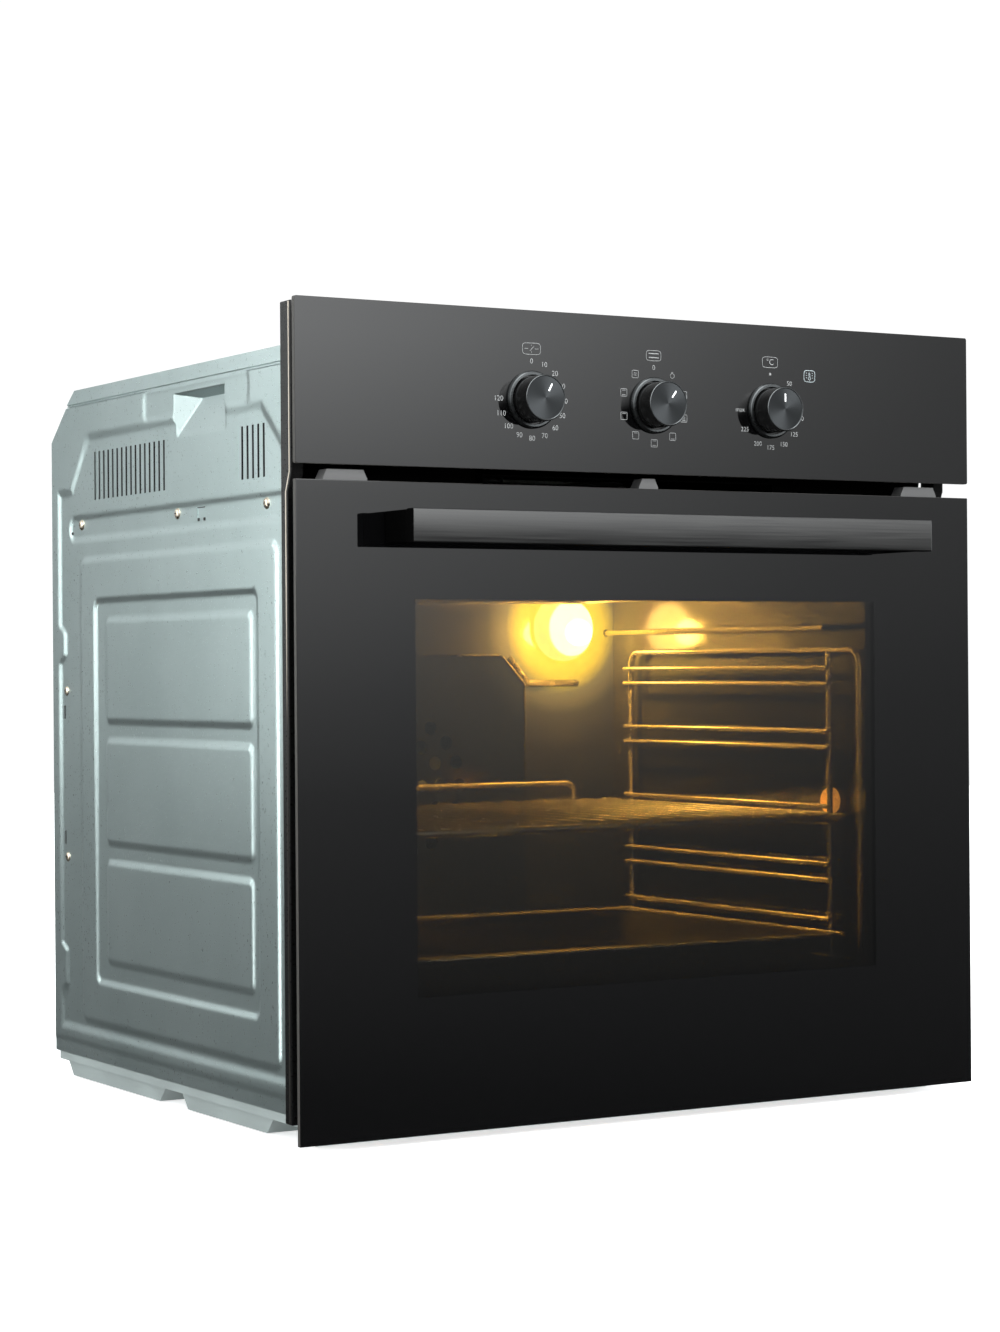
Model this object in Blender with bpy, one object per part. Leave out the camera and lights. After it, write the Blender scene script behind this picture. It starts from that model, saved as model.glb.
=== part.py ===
"""Built-in electric wall oven, 595 x 534 x 595 mm, as separate closed bodies.

X runs to the right, the door faces -Y and +Z is up.  Every body is drawn with
its depth measured back from the door's front plane.  The last step moves all
of them so that the origin is the centre of the bottom of the bounding box.
"""
import math

import bmesh
import bpy
from mathutils import Matrix, Vector

# ---------------------------------------------------------------- overall size
WIDTH = 0.595
HEIGHT = 0.595
FRONT_Y = -0.225
GAP = 0.0003
SHEET = 0.0012
SIDES = (-1, 1)
SIDE_NAMES = {-1: "left", 1: "right"}

# ---------------------------------------------------------------- outer body
BODY_HALF = 0.280
BODY_FRONT = 0.0382
BODY_REAR = 0.492
BODY_BOTTOM = 0.019
BODY_TOP = 0.567
BEVEL_DEPTH = 0.443
BEVEL_HEIGHT = 0.527
FLANGE = 0.012
PANEL_INNER = BODY_HALF - SHEET
COVER_HALF = 0.278
COVER_TOP = 0.5655
REAR_BACK = 0.4905
REAR_LOW = 0.0285
REAR_HIGH = 0.524
VENT_LOW = 0.475
VENT_HIGH = 0.514
VENT_WIDTH = 0.0032
REAR_VENTS = [0.264 + 0.00912 * i for i in range(16)]
FRONT_VENTS = [0.088 + 0.0090 * i for i in range(5)]
SCREW_DEPTHS = (0.088, 0.2436, 0.434)
SCREW_Z = 0.456
SCREW_HOLE = 0.0018
GRIP_START = 0.152
GRIP_END = 0.250
GRIP_TOP = 0.548
GRIP_LOW = 0.504
GRIP_LIP = 0.544
GRIP_REACH = 0.016

# ---------------------------------------------------------------- base
BASE_HALF = 0.277
BASE_FRONT = 0.0405
BASE_REAR = 0.488
BASE_LOW = 0.0120
BASE_SHEET = 0.0015
BASE_FLANGE_TOP = 0.028
RUNNER_INNER = 0.248
RUNNER_OUTER = 0.274
RUNNER_SLOPE = 0.012
RUNNER_SPANS = ((0.088, 0.250), (0.278, 0.478))
LIP_HALF = 0.272
LIP_FRONT = 0.026

# ---------------------------------------------------------------- front frame
FRAME_FRONT = 0.036
FRAME_REAR = 0.0375
FRAME_HALF = 0.278
FRAME_LOW = 0.016
FRAME_HIGH = 0.462
MOUTH_HALF = 0.226
MOUTH_LOW = 0.084
MOUTH_HIGH = 0.408
MOUTH_CORNER = 0.012
SLOT_INNER = 0.245
SLOT_OUTER = 0.257
SLOT_TOP = 0.050
TRIM_INNER = 0.2803
TRIM_OUTER = 0.290
TRIM_REAR = 0.038
TRIM_TOP = 0.592
TONGUE_INNER = 0.262
TONGUE_FRONT = 0.0330
TONGUE_REAR = 0.0357
TONGUE_HOLES = (0.120, 0.420)

# ---------------------------------------------------------------- cavity
CAVITY_HALF = 0.235
CAVITY_LOW = 0.075
CAVITY_HIGH = 0.415
CAVITY_FRONT = 0.0378
CAVITY_BACK = 0.428
LINER = 0.0015
CAVITY_CORNER = 0.012
BLANKET_HALF = 0.262
BLANKET_FRONT = 0.041
BLANKET_REAR = 0.455
BLANKET_LOW = 0.045
BLANKET_HIGH = 0.430
BLANKET_ROOM_HALF = 0.2385
BLANKET_ROOM_LOW = 0.058
BLANKET_ROOM_HIGH = 0.4185
BLANKET_ROOM_BACK = 0.4315
GASKET_HALF = 0.229
GASKET_LOW = 0.079
GASKET_HIGH = 0.412
GASKET_DEPTH = 0.0313
GASKET_RADIUS = 0.0044

# ---------------------------------------------------------------- racks, shelf, tray
RACK_X = 0.222
RACK_POST_X = 0.2262
RACK_WIRE = 0.0020
RACK_POST = 0.0025
RACK_FRONT = 0.052
RACK_SECOND = 0.092
RACK_BACK = 0.385
RACK_LOW = 0.100
RACK_HIGH = 0.349
RACK_LEVELS = (0.125, 0.1695, 0.216, 0.2765, 0.328)
RACK_HALF_GAP = 0.0065
SHELF_LEVEL = RACK_LEVELS[2] - RACK_HALF_GAP
SHELF_HALF = 0.2195
SHELF_FRONT = 0.058
SHELF_BACK = 0.392
SHELF_BAR = 0.0030
SHELF_Z = SHELF_LEVEL + RACK_WIRE + SHELF_BAR + GAP
SHELF_WIRE = 0.0015
SHELF_WIRES = 20
SHELF_PITCH = 0.021
SHELF_WIRE_Z = SHELF_Z + 0.0038
UPSTAND_HALF = 0.168
UPSTAND_RISE = 0.019
TRAY_LEVEL = RACK_LEVELS[0] - RACK_HALF_GAP
TRAY_RIM_LOW = TRAY_LEVEL + RACK_WIRE + GAP
TRAY_RIM_HALF = 0.2225
TRAY_RIM_FRONT = 0.060
TRAY_RIM_BACK = 0.392
TRAY_HALF = 0.205
TRAY_FRONT = 0.078
TRAY_BACK = 0.374
TRAY_FLOOR = 0.090

# ---------------------------------------------------------------- heating and air
TUBE = 0.0032
GRILL_Z = 0.395
GRILL_LEAD = 0.030
BOTTOM_Z = 0.0665
LEAD_END = 0.431
LEAD_HOLE = 0.005
FAN_Z = 0.235
RING_RADIUS = 0.100
RING_DEPTH = 0.413
RING_OPEN_ANGLE = math.radians(12)
COVER_FAN_HALF = 0.150
COVER_FAN_LOW = 0.095
COVER_FAN_HIGH = 0.375
COVER_FAN_FRONT = 0.398
COVER_FAN_REAR = 0.4275
FAN_RADIUS = 0.078
FAN_SHAFT = 0.004
MOTOR_RADIUS = 0.040
MOTOR_FRONT = 0.445
MOTOR_REAR = 0.484
LAMP_X = 0.180
LAMP_Z = 0.371
LAMP_HOLE = 0.024
PROBE_X = 0.228
PROBE_Z = 0.367
PROBE_RADIUS = 0.0025

# ---------------------------------------------------------------- cooling blower
BLOWER_DEPTH = 0.250
BLOWER_Z = 0.500
BLOWER_HALF = 0.130
SCROLL_RADIUS = 0.036
ROTOR_RADIUS = 0.030
ROTOR_HALF = 0.120
ROTOR_SHAFT = 0.003
ROTOR_BLADES = 12

# ---------------------------------------------------------------- control panel
FASCIA_LOW = 0.479
GLASS = 0.004
GLASS_CORNER = 0.0015
KNOB_X = 0.106
KNOB_Z = 0.530
KNOB_RADIUS = 0.0168
KNOB_FRONT = -0.020
KNOB_REAR = -0.001
KNOB_BORE = 0.0033
SHAFT_RADIUS = 0.003
SHAFT_FRONT = -0.010
SHAFT_REAR = 0.030
SHAFT_HOLE = 0.006
BEZEL_INNER = 0.0178
BEZEL_OUTER = 0.0210
BEZEL_FRONT = -0.0035
BRACKET_HALF = 0.2795
BRACKET_LOW = 0.484
BRACKET_HIGH = 0.590
BRACKET_FRONT = 0.0043
BRACKET_REAR = 0.0375
SWITCH_FRONT = 0.0058
DIAL_NAMES = ("timer", "selector", "thermostat")
DIAL_X = {"timer": -KNOB_X, "selector": 0.0, "thermostat": KNOB_X}
POINTER_ANGLE = {"timer": 28.0, "selector": 36.0, "thermostat": 0.0}

# ---------------------------------------------------------------- door
DOOR_LOW = 0.005
DOOR_HIGH = 0.468
RAIL_INNER = 0.238
RAIL_OUTER = 0.264
RAIL_FRONT = 0.0043
RAIL_REAR = 0.0219
RAIL_LOW = 0.012
RAIL_HIGH = 0.460
RAIL_WALL = 0.0015
INNER_GLASS_HALF = 0.262
INNER_GLASS_FRONT = 0.0222
INNER_GLASS_REAR = 0.0262
INNER_GLASS_LOW = 0.048
INNER_GLASS_HIGH = 0.4598
TOP_TRIM_HALF = 0.2735
TOP_TRIM_LOW = 0.4603
TOP_TRIM_HIGH = 0.4677
TOP_TRIM_LIP = 0.0275
TAB_TOP = 0.476
HANDLE_HALF = 0.2275
HANDLE_LOW = 0.4232
HANDLE_HIGH = 0.4472
HANDLE_FRONT = -0.042
HANDLE_REAR = -0.032
MOUNT_WIDTH = 0.014
STUD_X = HANDLE_HALF - MOUNT_WIDTH / 2
STUD_Z = (HANDLE_LOW + HANDLE_HIGH) / 2
STUD_RADIUS = 0.003
STUD_HOLE = 0.0035

# ---------------------------------------------------------------- hinge
HINGE_DEPTH = 0.015
HINGE_Z = 0.025
HINGE_X = 0.251
PIN_RADIUS = 0.003
PIN_HOLE = 0.0034
ARM_HALF = 0.002
ARM_END = 0.075
EYE_RADIUS = 0.006
ROD_DEPTH = 0.0135
ROD_RADIUS = 0.0025
ROD_LOW = 0.045
ROD_HIGH = 0.194
ROD_HOLE = 0.0036
SEAT_LOW = 0.0865
SEAT_HIGH = 0.0885
WASHER_LOW = 0.1905
WASHER_RADIUS = 0.0072
SPRING_RADIUS = 0.0065
SPRING_WIRE = 0.0009
SPRING_COILS = 9
SPRING_STEPS = 10

MATERIALS = {
    "galvanised_steel": ((0.52, 0.58, 0.57, 1.0), 0.42, 1.0),
    "dark_steel": ((0.20, 0.21, 0.22, 1.0), 0.45, 1.0),
    "black_enamel": ((0.02, 0.02, 0.022, 1.0), 0.25, 0.0),
    "chrome_wire": ((0.75, 0.74, 0.70, 1.0), 0.18, 1.0),
    "black_glass": ((0.01, 0.01, 0.012, 1.0), 0.05, 0.0),
    "clear_glass": ((0.55, 0.58, 0.58, 1.0), 0.05, 0.0),
    "brushed_dark_metal": ((0.14, 0.14, 0.14, 1.0), 0.35, 1.0),
    "black_plastic": ((0.03, 0.03, 0.03, 1.0), 0.50, 0.0),
    "grey_plastic": ((0.30, 0.31, 0.32, 1.0), 0.50, 0.0),
    "mineral_wool": ((0.72, 0.68, 0.52, 1.0), 0.95, 0.0),
    "silicone_rubber": ((0.05, 0.05, 0.05, 1.0), 0.70, 0.0),
    "spring_steel": ((0.45, 0.45, 0.46, 1.0), 0.35, 1.0),
}

made_materials = {}
made_bodies = []


# ---------------------------------------------------------------- helpers
def clear_scene():
    for body in list(bpy.data.objects):
        bpy.data.objects.remove(body, do_unlink=True)


def make_materials():
    for name, (colour, roughness, metallic) in MATERIALS.items():
        material = bpy.data.materials.new(name)
        material.use_nodes = True
        material.diffuse_color = colour
        shader = material.node_tree.nodes["Principled BSDF"]
        shader.inputs["Base Color"].default_value = colour
        shader.inputs["Roughness"].default_value = roughness
        shader.inputs["Metallic"].default_value = metallic
        made_materials[name] = material


def mesh_body(vertices, faces, name="piece"):
    mesh = bpy.data.meshes.new(name)
    mesh.from_pydata(vertices, [], faces)
    work = bmesh.new()
    work.from_mesh(mesh)
    bmesh.ops.recalc_face_normals(work, faces=work.faces)
    work.to_mesh(mesh)
    work.free()
    body = bpy.data.objects.new(name, mesh)
    bpy.context.collection.objects.link(body)
    return body


def on_axis(axis, first, second, level):
    if axis == "X":
        return (level, first, second)
    if axis == "Y":
        return (first, level, second)
    return (first, second, level)


def prism(outline, axis, low, high):
    """Extrude a flat outline; it is (depth, z), (x, z) or (x, depth) by axis."""
    count = len(outline)
    vertices = [on_axis(axis, a, b, low) for a, b in outline]
    vertices += [on_axis(axis, a, b, high) for a, b in outline]
    faces = [tuple(range(count)), tuple(range(count, 2 * count))]
    for i in range(count):
        j = (i + 1) % count
        faces.append((i, j, count + j, count + i))
    return mesh_body(vertices, faces)


def box(x_span, depth_span, z_span):
    outline = [
        (x_span[0], depth_span[0]),
        (x_span[1], depth_span[0]),
        (x_span[1], depth_span[1]),
        (x_span[0], depth_span[1]),
    ]
    return prism(outline, "Z", z_span[0], z_span[1])


def across(side, inner, outer):
    """X range of something between two distances from the centre plane."""
    return tuple(sorted((side * inner, side * outer)))


def rounded_outline(a_span, b_span, radius, steps=4):
    outline = []
    corners = (
        (a_span[1] - radius, b_span[1] - radius, 0.0),
        (a_span[0] + radius, b_span[1] - radius, 90.0),
        (a_span[0] + radius, b_span[0] + radius, 180.0),
        (a_span[1] - radius, b_span[0] + radius, 270.0),
    )
    for a, b, start in corners:
        for step in range(steps + 1):
            angle = math.radians(start + 90.0 * step / steps)
            outline.append((a + radius * math.cos(angle), b + radius * math.sin(angle)))
    return outline


def turned(profile, axis, centre, sides=24, ring=False):
    """Spin (radius, along) points about an axis through centre."""
    vertices = []
    rows = []
    for radius, along in profile:
        row = []
        if radius == 0.0:
            row.append(len(vertices))
            vertices.append(on_axis(axis, centre[0], centre[1], along))
        else:
            for i in range(sides):
                angle = 2.0 * math.pi * i / sides
                a = centre[0] + radius * math.cos(angle)
                b = centre[1] + radius * math.sin(angle)
                row.append(len(vertices))
                vertices.append(on_axis(axis, a, b, along))
        rows.append(row)
    faces = []
    pairs = list(zip(rows, rows[1:]))
    if ring:
        pairs.append((rows[-1], rows[0]))
    for first, second in pairs:
        faces += band_faces(first, second, sides)
    if not ring:
        faces += [tuple(row) for row in (rows[0], rows[-1]) if len(row) > 1]
    return mesh_body(vertices, faces)


def band_faces(first, second, sides):
    faces = []
    for i in range(sides):
        j = (i + 1) % sides
        if len(first) == 1:
            faces.append((first[0], second[i], second[j]))
        elif len(second) == 1:
            faces.append((first[i], first[j], second[0]))
        else:
            faces.append((first[i], first[j], second[j], second[i]))
    return faces


def rod(axis, centre, radius, low, high, sides=16):
    return turned([(radius, low), (radius, high)], axis, centre, sides)


def rounded_path(points, fillet, steps=4, closed=False):
    """Replace the corners of a line of points with arcs."""
    corners = [Vector(point) for point in points]
    count = len(corners)
    path = []
    for i, corner in enumerate(corners):
        if not closed and i in (0, count - 1):
            path.append(corner)
            continue
        before = (corners[i - 1] - corner).normalized()
        after = (corners[(i + 1) % count] - corner).normalized()
        half = before.angle(after) / 2.0
        reach = fillet / math.tan(half)
        middle = corner + (before + after).normalized() * (fillet / math.sin(half))
        start = corner + before * reach - middle
        end = corner + after * reach - middle
        turn = start.rotation_difference(end)
        for step in range(steps + 1):
            part = Matrix.Rotation(turn.angle * step / steps, 3, turn.axis)
            path.append(middle + part @ start)
    return path


def tube(points, radius, sides=8, closed=False):
    """Sweep a circle along a line of points, turning it as little as possible."""
    path = [Vector(point) for point in points]
    count = len(path)
    directions = []
    for i in range(count):
        before = path[i - 1] if closed or i > 0 else path[i]
        after = path[(i + 1) % count] if closed or i < count - 1 else path[i]
        directions.append((after - before).normalized())
    normal = directions[0].orthogonal().normalized()
    vertices = []
    for i, direction in enumerate(directions):
        if i > 0:
            normal = directions[i - 1].rotation_difference(direction) @ normal
        other = direction.cross(normal)
        for k in range(sides):
            angle = 2.0 * math.pi * (k + 0.5) / sides
            offset = normal * math.cos(angle) + other * math.sin(angle)
            vertices.append(path[i] + offset * radius)
    faces = []
    links = count if closed else count - 1
    for i in range(links):
        j = (i + 1) % count
        for k in range(sides):
            m = (k + 1) % sides
            faces.append((i * sides + k, i * sides + m, j * sides + m, j * sides + k))
    if not closed:
        faces.append(tuple(range(sides)))
        faces.append(tuple(range((count - 1) * sides, count * sides)))
    return mesh_body(vertices, faces)


def gather(pieces):
    """Put pieces that do not touch each other into one body."""
    work = bmesh.new()
    for piece in pieces:
        work.from_mesh(piece.data)
    mesh = bpy.data.meshes.new("piece")
    work.to_mesh(mesh)
    work.free()
    for piece in pieces:
        bpy.data.objects.remove(piece, do_unlink=True)
    body = bpy.data.objects.new("piece", mesh)
    bpy.context.collection.objects.link(body)
    return body


def combine(target, pieces, operation):
    tool = gather(pieces)
    modifier = target.modifiers.new("combine", "BOOLEAN")
    modifier.solver = "EXACT"
    modifier.operation = operation
    modifier.object = tool
    bpy.context.view_layer.update()
    graph = bpy.context.evaluated_depsgraph_get()
    result = bpy.data.meshes.new_from_object(target.evaluated_get(graph))
    target.modifiers.clear()
    target.data = result
    bpy.data.objects.remove(tool, do_unlink=True)
    return target


def add(target, pieces):
    return combine(target, pieces, "UNION")


def cut(target, pieces):
    return combine(target, pieces, "DIFFERENCE")


def keep(body, name, material, smooth=False):
    """Give a finished body its name and material."""
    mesh = body.data
    work = bmesh.new()
    work.from_mesh(mesh)
    bmesh.ops.remove_doubles(work, verts=work.verts, dist=1e-6)
    bmesh.ops.dissolve_degenerate(work, edges=work.edges, dist=1e-6)
    work.to_mesh(mesh)
    work.free()
    mesh.materials.clear()
    mesh.materials.append(made_materials[material])
    for polygon in mesh.polygons:
        polygon.material_index = 0
    if smooth:
        mesh.shade_smooth()
        mesh.set_sharp_from_angle(angle=math.radians(35))
    mesh.name = name
    body.name = name
    made_bodies.append(body)
    return body


# ---------------------------------------------------------------- outer body
def make_base_tray():
    tray = box((-BASE_HALF, BASE_HALF), (BASE_FRONT, BASE_REAR), (BASE_LOW, BASE_FLANGE_TOP))
    room_half = BASE_HALF - BASE_SHEET
    room_floor = BASE_LOW + BASE_SHEET
    room_back = BASE_REAR - BASE_SHEET
    cut(tray, [box((-room_half, room_half), (0.030, room_back), (room_floor, 0.040))])
    lip = [
        (LIP_FRONT, 0.0),
        (BASE_FRONT + BASE_SHEET, 0.0),
        (BASE_FRONT + BASE_SHEET, BASE_LOW + 0.001),
        (BASE_FRONT, BASE_LOW + 0.001),
        (BASE_FRONT, BASE_SHEET),
        (LIP_FRONT, BASE_SHEET),
    ]
    outside = [prism(lip, "X", -LIP_HALF, LIP_HALF)]
    inside = []
    for side in SIDES:
        for start, end in RUNNER_SPANS:
            span = across(side, RUNNER_INNER, RUNNER_OUTER)
            room = (span[0] + BASE_SHEET, span[1] - BASE_SHEET)
            outside.append(prism(runner_outline(start, end, 0.0, 0.0130), "X", *span))
            inner = runner_outline(start + BASE_SHEET, end - BASE_SHEET, BASE_SHEET, 0.0145)
            inside.append(prism(inner, "X", *room))
    add(tray, outside)
    cut(tray, inside)
    keep(tray, "base_tray", "galvanised_steel")


def runner_outline(start, end, low, high):
    return [
        (start, high),
        (start + RUNNER_SLOPE, low),
        (end - RUNNER_SLOPE, low),
        (end, high),
    ]


def grip_outline(side, back_off):
    """Wedge of the hand grip, deepest at its top; back_off grows it inwards."""
    face = BODY_HALF + 0.001 if back_off == 0.0 else PANEL_INNER + 0.0004
    reach = BODY_HALF - GRIP_REACH
    slope = (GRIP_LIP - GRIP_LOW) / (BODY_HALF + 0.001 - reach)
    drop = back_off * math.hypot(1.0, slope)
    inner = reach - back_off
    outline = [
        (side * face, GRIP_TOP + back_off),
        (side * inner, GRIP_TOP + back_off),
        (side * inner, GRIP_LIP - (inner - reach) * slope - drop),
        (side * face, GRIP_LIP - (face - reach) * slope - drop),
    ]
    return outline


def make_side_panel(side):
    profile = [
        (BODY_FRONT, BODY_BOTTOM),
        (BODY_REAR, BODY_BOTTOM),
        (BODY_REAR, BEVEL_HEIGHT),
        (BEVEL_DEPTH, BODY_TOP),
        (BODY_FRONT, BODY_TOP),
    ]
    slope = SHEET * 0.5
    room = [
        (BODY_FRONT + SHEET, BODY_BOTTOM - 0.010),
        (BODY_REAR - SHEET, BODY_BOTTOM - 0.010),
        (BODY_REAR - SHEET, BEVEL_HEIGHT - slope),
        (BEVEL_DEPTH - slope, BODY_TOP - SHEET),
        (BODY_FRONT + SHEET, BODY_TOP - SHEET),
    ]
    panel = prism(profile, "X", *across(side, BODY_HALF - FLANGE, BODY_HALF))
    cut(panel, [prism(room, "X", *across(side, BODY_HALF - FLANGE - 0.002, PANEL_INNER))])
    wedge = prism(grip_outline(side, SHEET), "Y", GRIP_START - SHEET, GRIP_END + SHEET)
    add(panel, [wedge])
    holes = [prism(grip_outline(side, 0.0), "Y", GRIP_START, GRIP_END)]
    through = across(side, PANEL_INNER - 0.001, BODY_HALF + 0.001)
    for start in REAR_VENTS + FRONT_VENTS:
        holes.append(box(through, (start, start + VENT_WIDTH), (VENT_LOW, VENT_HIGH)))
    for depth in SCREW_DEPTHS:
        holes.append(rod("X", (depth, SCREW_Z), SCREW_HOLE, *through, sides=10))
    cut(panel, holes)
    keep(panel, "side_panel_" + SIDE_NAMES[side], "galvanised_steel")


def bevel_height(depth, inset):
    """Height of the sloped rear of the cover, inset from the outer bevel."""
    run = BODY_REAR - BEVEL_DEPTH
    rise = BODY_TOP - BEVEL_HEIGHT
    length = math.hypot(run, rise)
    return BODY_TOP - (depth - BEVEL_DEPTH) * rise / run - inset * length / run


def bevel_depth(height, inset):
    run = BODY_REAR - BEVEL_DEPTH
    rise = BODY_TOP - BEVEL_HEIGHT
    length = math.hypot(run, rise)
    return BEVEL_DEPTH + (BODY_TOP - height) * run / rise - inset * length / rise


def make_top_cover():
    outer = SHEET + GAP
    inner = outer + SHEET
    outline = [
        (0.040, COVER_TOP),
        (bevel_depth(COVER_TOP, outer), COVER_TOP),
        (REAR_BACK, bevel_height(REAR_BACK, outer)),
        (REAR_BACK, bevel_height(REAR_BACK, inner)),
        (bevel_depth(COVER_TOP - SHEET, inner), COVER_TOP - SHEET),
        (0.040, COVER_TOP - SHEET),
    ]
    cover = prism(outline, "X", -COVER_HALF, COVER_HALF)
    slots = []
    for side in SIDES:
        for i in range(8):
            x = side * (0.060 + 0.020 * i)
            slots.append(box((x - 0.002, x + 0.002), (0.300, 0.360), (0.560, 0.570)))
    cut(cover, slots)
    keep(cover, "top_cover", "galvanised_steel")


def make_rear_panel():
    panel = box((-COVER_HALF, COVER_HALF), (REAR_BACK - SHEET, REAR_BACK), (REAR_LOW, REAR_HIGH))
    through = (REAR_BACK - SHEET - 0.001, REAR_BACK + 0.001)
    holes = []
    for i in range(8):
        x = -0.150 + 0.0375 * i
        for z in (0.490, 0.506, 0.062):
            holes.append(box((x - 0.012, x + 0.012), through, (z - 0.002, z + 0.002)))
    holes.append(rod("Y", (0.200, 0.450), 0.011, *through, sides=20))
    cut(panel, holes)
    keep(panel, "rear_panel", "galvanised_steel")


# ---------------------------------------------------------------- front frame
def make_front_frame():
    frame = box((-FRAME_HALF, FRAME_HALF), (FRAME_FRONT, FRAME_REAR), (FRAME_LOW, FRAME_HIGH))
    through = (FRAME_FRONT - 0.001, FRAME_REAR + 0.001)
    mouth = rounded_outline((-MOUTH_HALF, MOUTH_HALF), (MOUTH_LOW, MOUTH_HIGH), MOUTH_CORNER)
    holes = [prism(mouth, "Y", *through)]
    for side in SIDES:
        holes.append(box(across(side, SLOT_INNER, SLOT_OUTER), through, (0.010, SLOT_TOP)))
    cut(frame, holes)
    keep(frame, "front_frame", "black_enamel")


def make_side_trim(side):
    post = [
        (TRIM_REAR, FRAME_LOW),
        (0.027, FRAME_LOW),
        (0.027, 0.460),
        (0.021, 0.474),
        (0.021, TRIM_TOP),
        (TRIM_REAR, TRIM_TOP),
    ]
    trim = prism(post, "X", *across(side, TRIM_INNER, TRIM_OUTER))
    tongue_span = across(side, TONGUE_INNER, TRIM_INNER + 0.001)
    add(trim, [box(tongue_span, (TONGUE_FRONT, TONGUE_REAR), (FRAME_LOW, FRAME_HIGH))])
    hole_x = side * (TONGUE_INNER + 0.007)
    holes = []
    for z in TONGUE_HOLES:
        holes.append(rod("Y", (hole_x, z), 0.002, TONGUE_FRONT - 0.001, TONGUE_REAR + 0.001, 12))
    cut(trim, holes)
    keep(trim, "side_trim_" + SIDE_NAMES[side], "black_plastic")


# ---------------------------------------------------------------- cavity
def make_cavity_liner():
    outer_x = (-CAVITY_HALF - LINER, CAVITY_HALF + LINER)
    outer_z = (CAVITY_LOW - LINER, CAVITY_HIGH + LINER)
    outer = rounded_outline(outer_x, outer_z, CAVITY_CORNER + LINER)
    inner = rounded_outline(
        (-CAVITY_HALF, CAVITY_HALF), (CAVITY_LOW, CAVITY_HIGH), CAVITY_CORNER
    )
    liner = prism(outer, "Y", CAVITY_FRONT, CAVITY_BACK + LINER)
    cut(liner, [prism(inner, "Y", CAVITY_FRONT - 0.010, CAVITY_BACK)])
    through = (CAVITY_BACK - 0.002, CAVITY_BACK + LINER + 0.002)
    ring_x = RING_RADIUS * math.sin(RING_OPEN_ANGLE)
    ring_z = FAN_Z + RING_RADIUS * math.cos(RING_OPEN_ANGLE)
    holes = [
        rod("Y", (0.0, FAN_Z), 0.008, *through),
        rod("Y", (LAMP_X, LAMP_Z), LAMP_HOLE, *through, sides=24),
        rod("Y", (PROBE_X, PROBE_Z), 0.0035, *through, sides=10),
    ]
    for side in SIDES:
        holes.append(rod("Y", (side * ring_x, ring_z), LEAD_HOLE, *through, sides=12))
        holes.append(rod("Y", (side * GRILL_LEAD, GRILL_Z), LEAD_HOLE, *through, sides=12))
    cut(liner, holes)
    keep(liner, "cavity_liner", "black_enamel")


def make_insulation():
    blanket = box(
        (-BLANKET_HALF, BLANKET_HALF),
        (BLANKET_FRONT, BLANKET_REAR),
        (BLANKET_LOW, BLANKET_HIGH),
    )
    room = box(
        (-BLANKET_ROOM_HALF, BLANKET_ROOM_HALF),
        (BLANKET_FRONT - 0.010, BLANKET_ROOM_BACK),
        (BLANKET_ROOM_LOW, BLANKET_ROOM_HIGH),
    )
    cut(blanket, [room])
    through = (BLANKET_ROOM_BACK - 0.002, BLANKET_REAR + 0.002)
    motor_hole = rod("Y", (0.0, FAN_Z), 0.045, *through, sides=24)
    lamp_hole = rod("Y", (LAMP_X, LAMP_Z), 0.030, *through, sides=24)
    cut(blanket, [motor_hole, lamp_hole])
    keep(blanket, "insulation_blanket", "mineral_wool")


def make_gasket():
    corners = [
        (-GASKET_HALF, GASKET_DEPTH, GASKET_LOW),
        (GASKET_HALF, GASKET_DEPTH, GASKET_LOW),
        (GASKET_HALF, GASKET_DEPTH, GASKET_HIGH),
        (-GASKET_HALF, GASKET_DEPTH, GASKET_HIGH),
    ]
    path = rounded_path(corners, 0.015, 5, closed=True)
    keep(tube(path, GASKET_RADIUS, 10, closed=True), "door_gasket", "silicone_rubber", True)


# ---------------------------------------------------------------- racks, shelf, tray
def make_rack(side):
    x = side * RACK_POST_X
    corners = [
        (x, RACK_FRONT, RACK_LOW),
        (x, RACK_FRONT, RACK_HIGH),
        (x, RACK_BACK, RACK_HIGH),
        (x, RACK_BACK, RACK_LOW),
    ]
    rack = tube(rounded_path(corners, 0.012, 4, closed=True), RACK_POST, 8, closed=True)
    add(rack, [rod("Z", (x, RACK_SECOND), RACK_POST, RACK_LOW, RACK_HIGH, 8)])
    wires = []
    for level in RACK_LEVELS:
        for offset in (-RACK_HALF_GAP, RACK_HALF_GAP):
            centre = (side * RACK_X, level + offset)
            wires.append(rod("Y", centre, RACK_WIRE, RACK_SECOND - 0.004, RACK_BACK + 0.004, 8))
    add(rack, wires)
    keep(rack, "rack_" + SIDE_NAMES[side], "chrome_wire", True)


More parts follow.
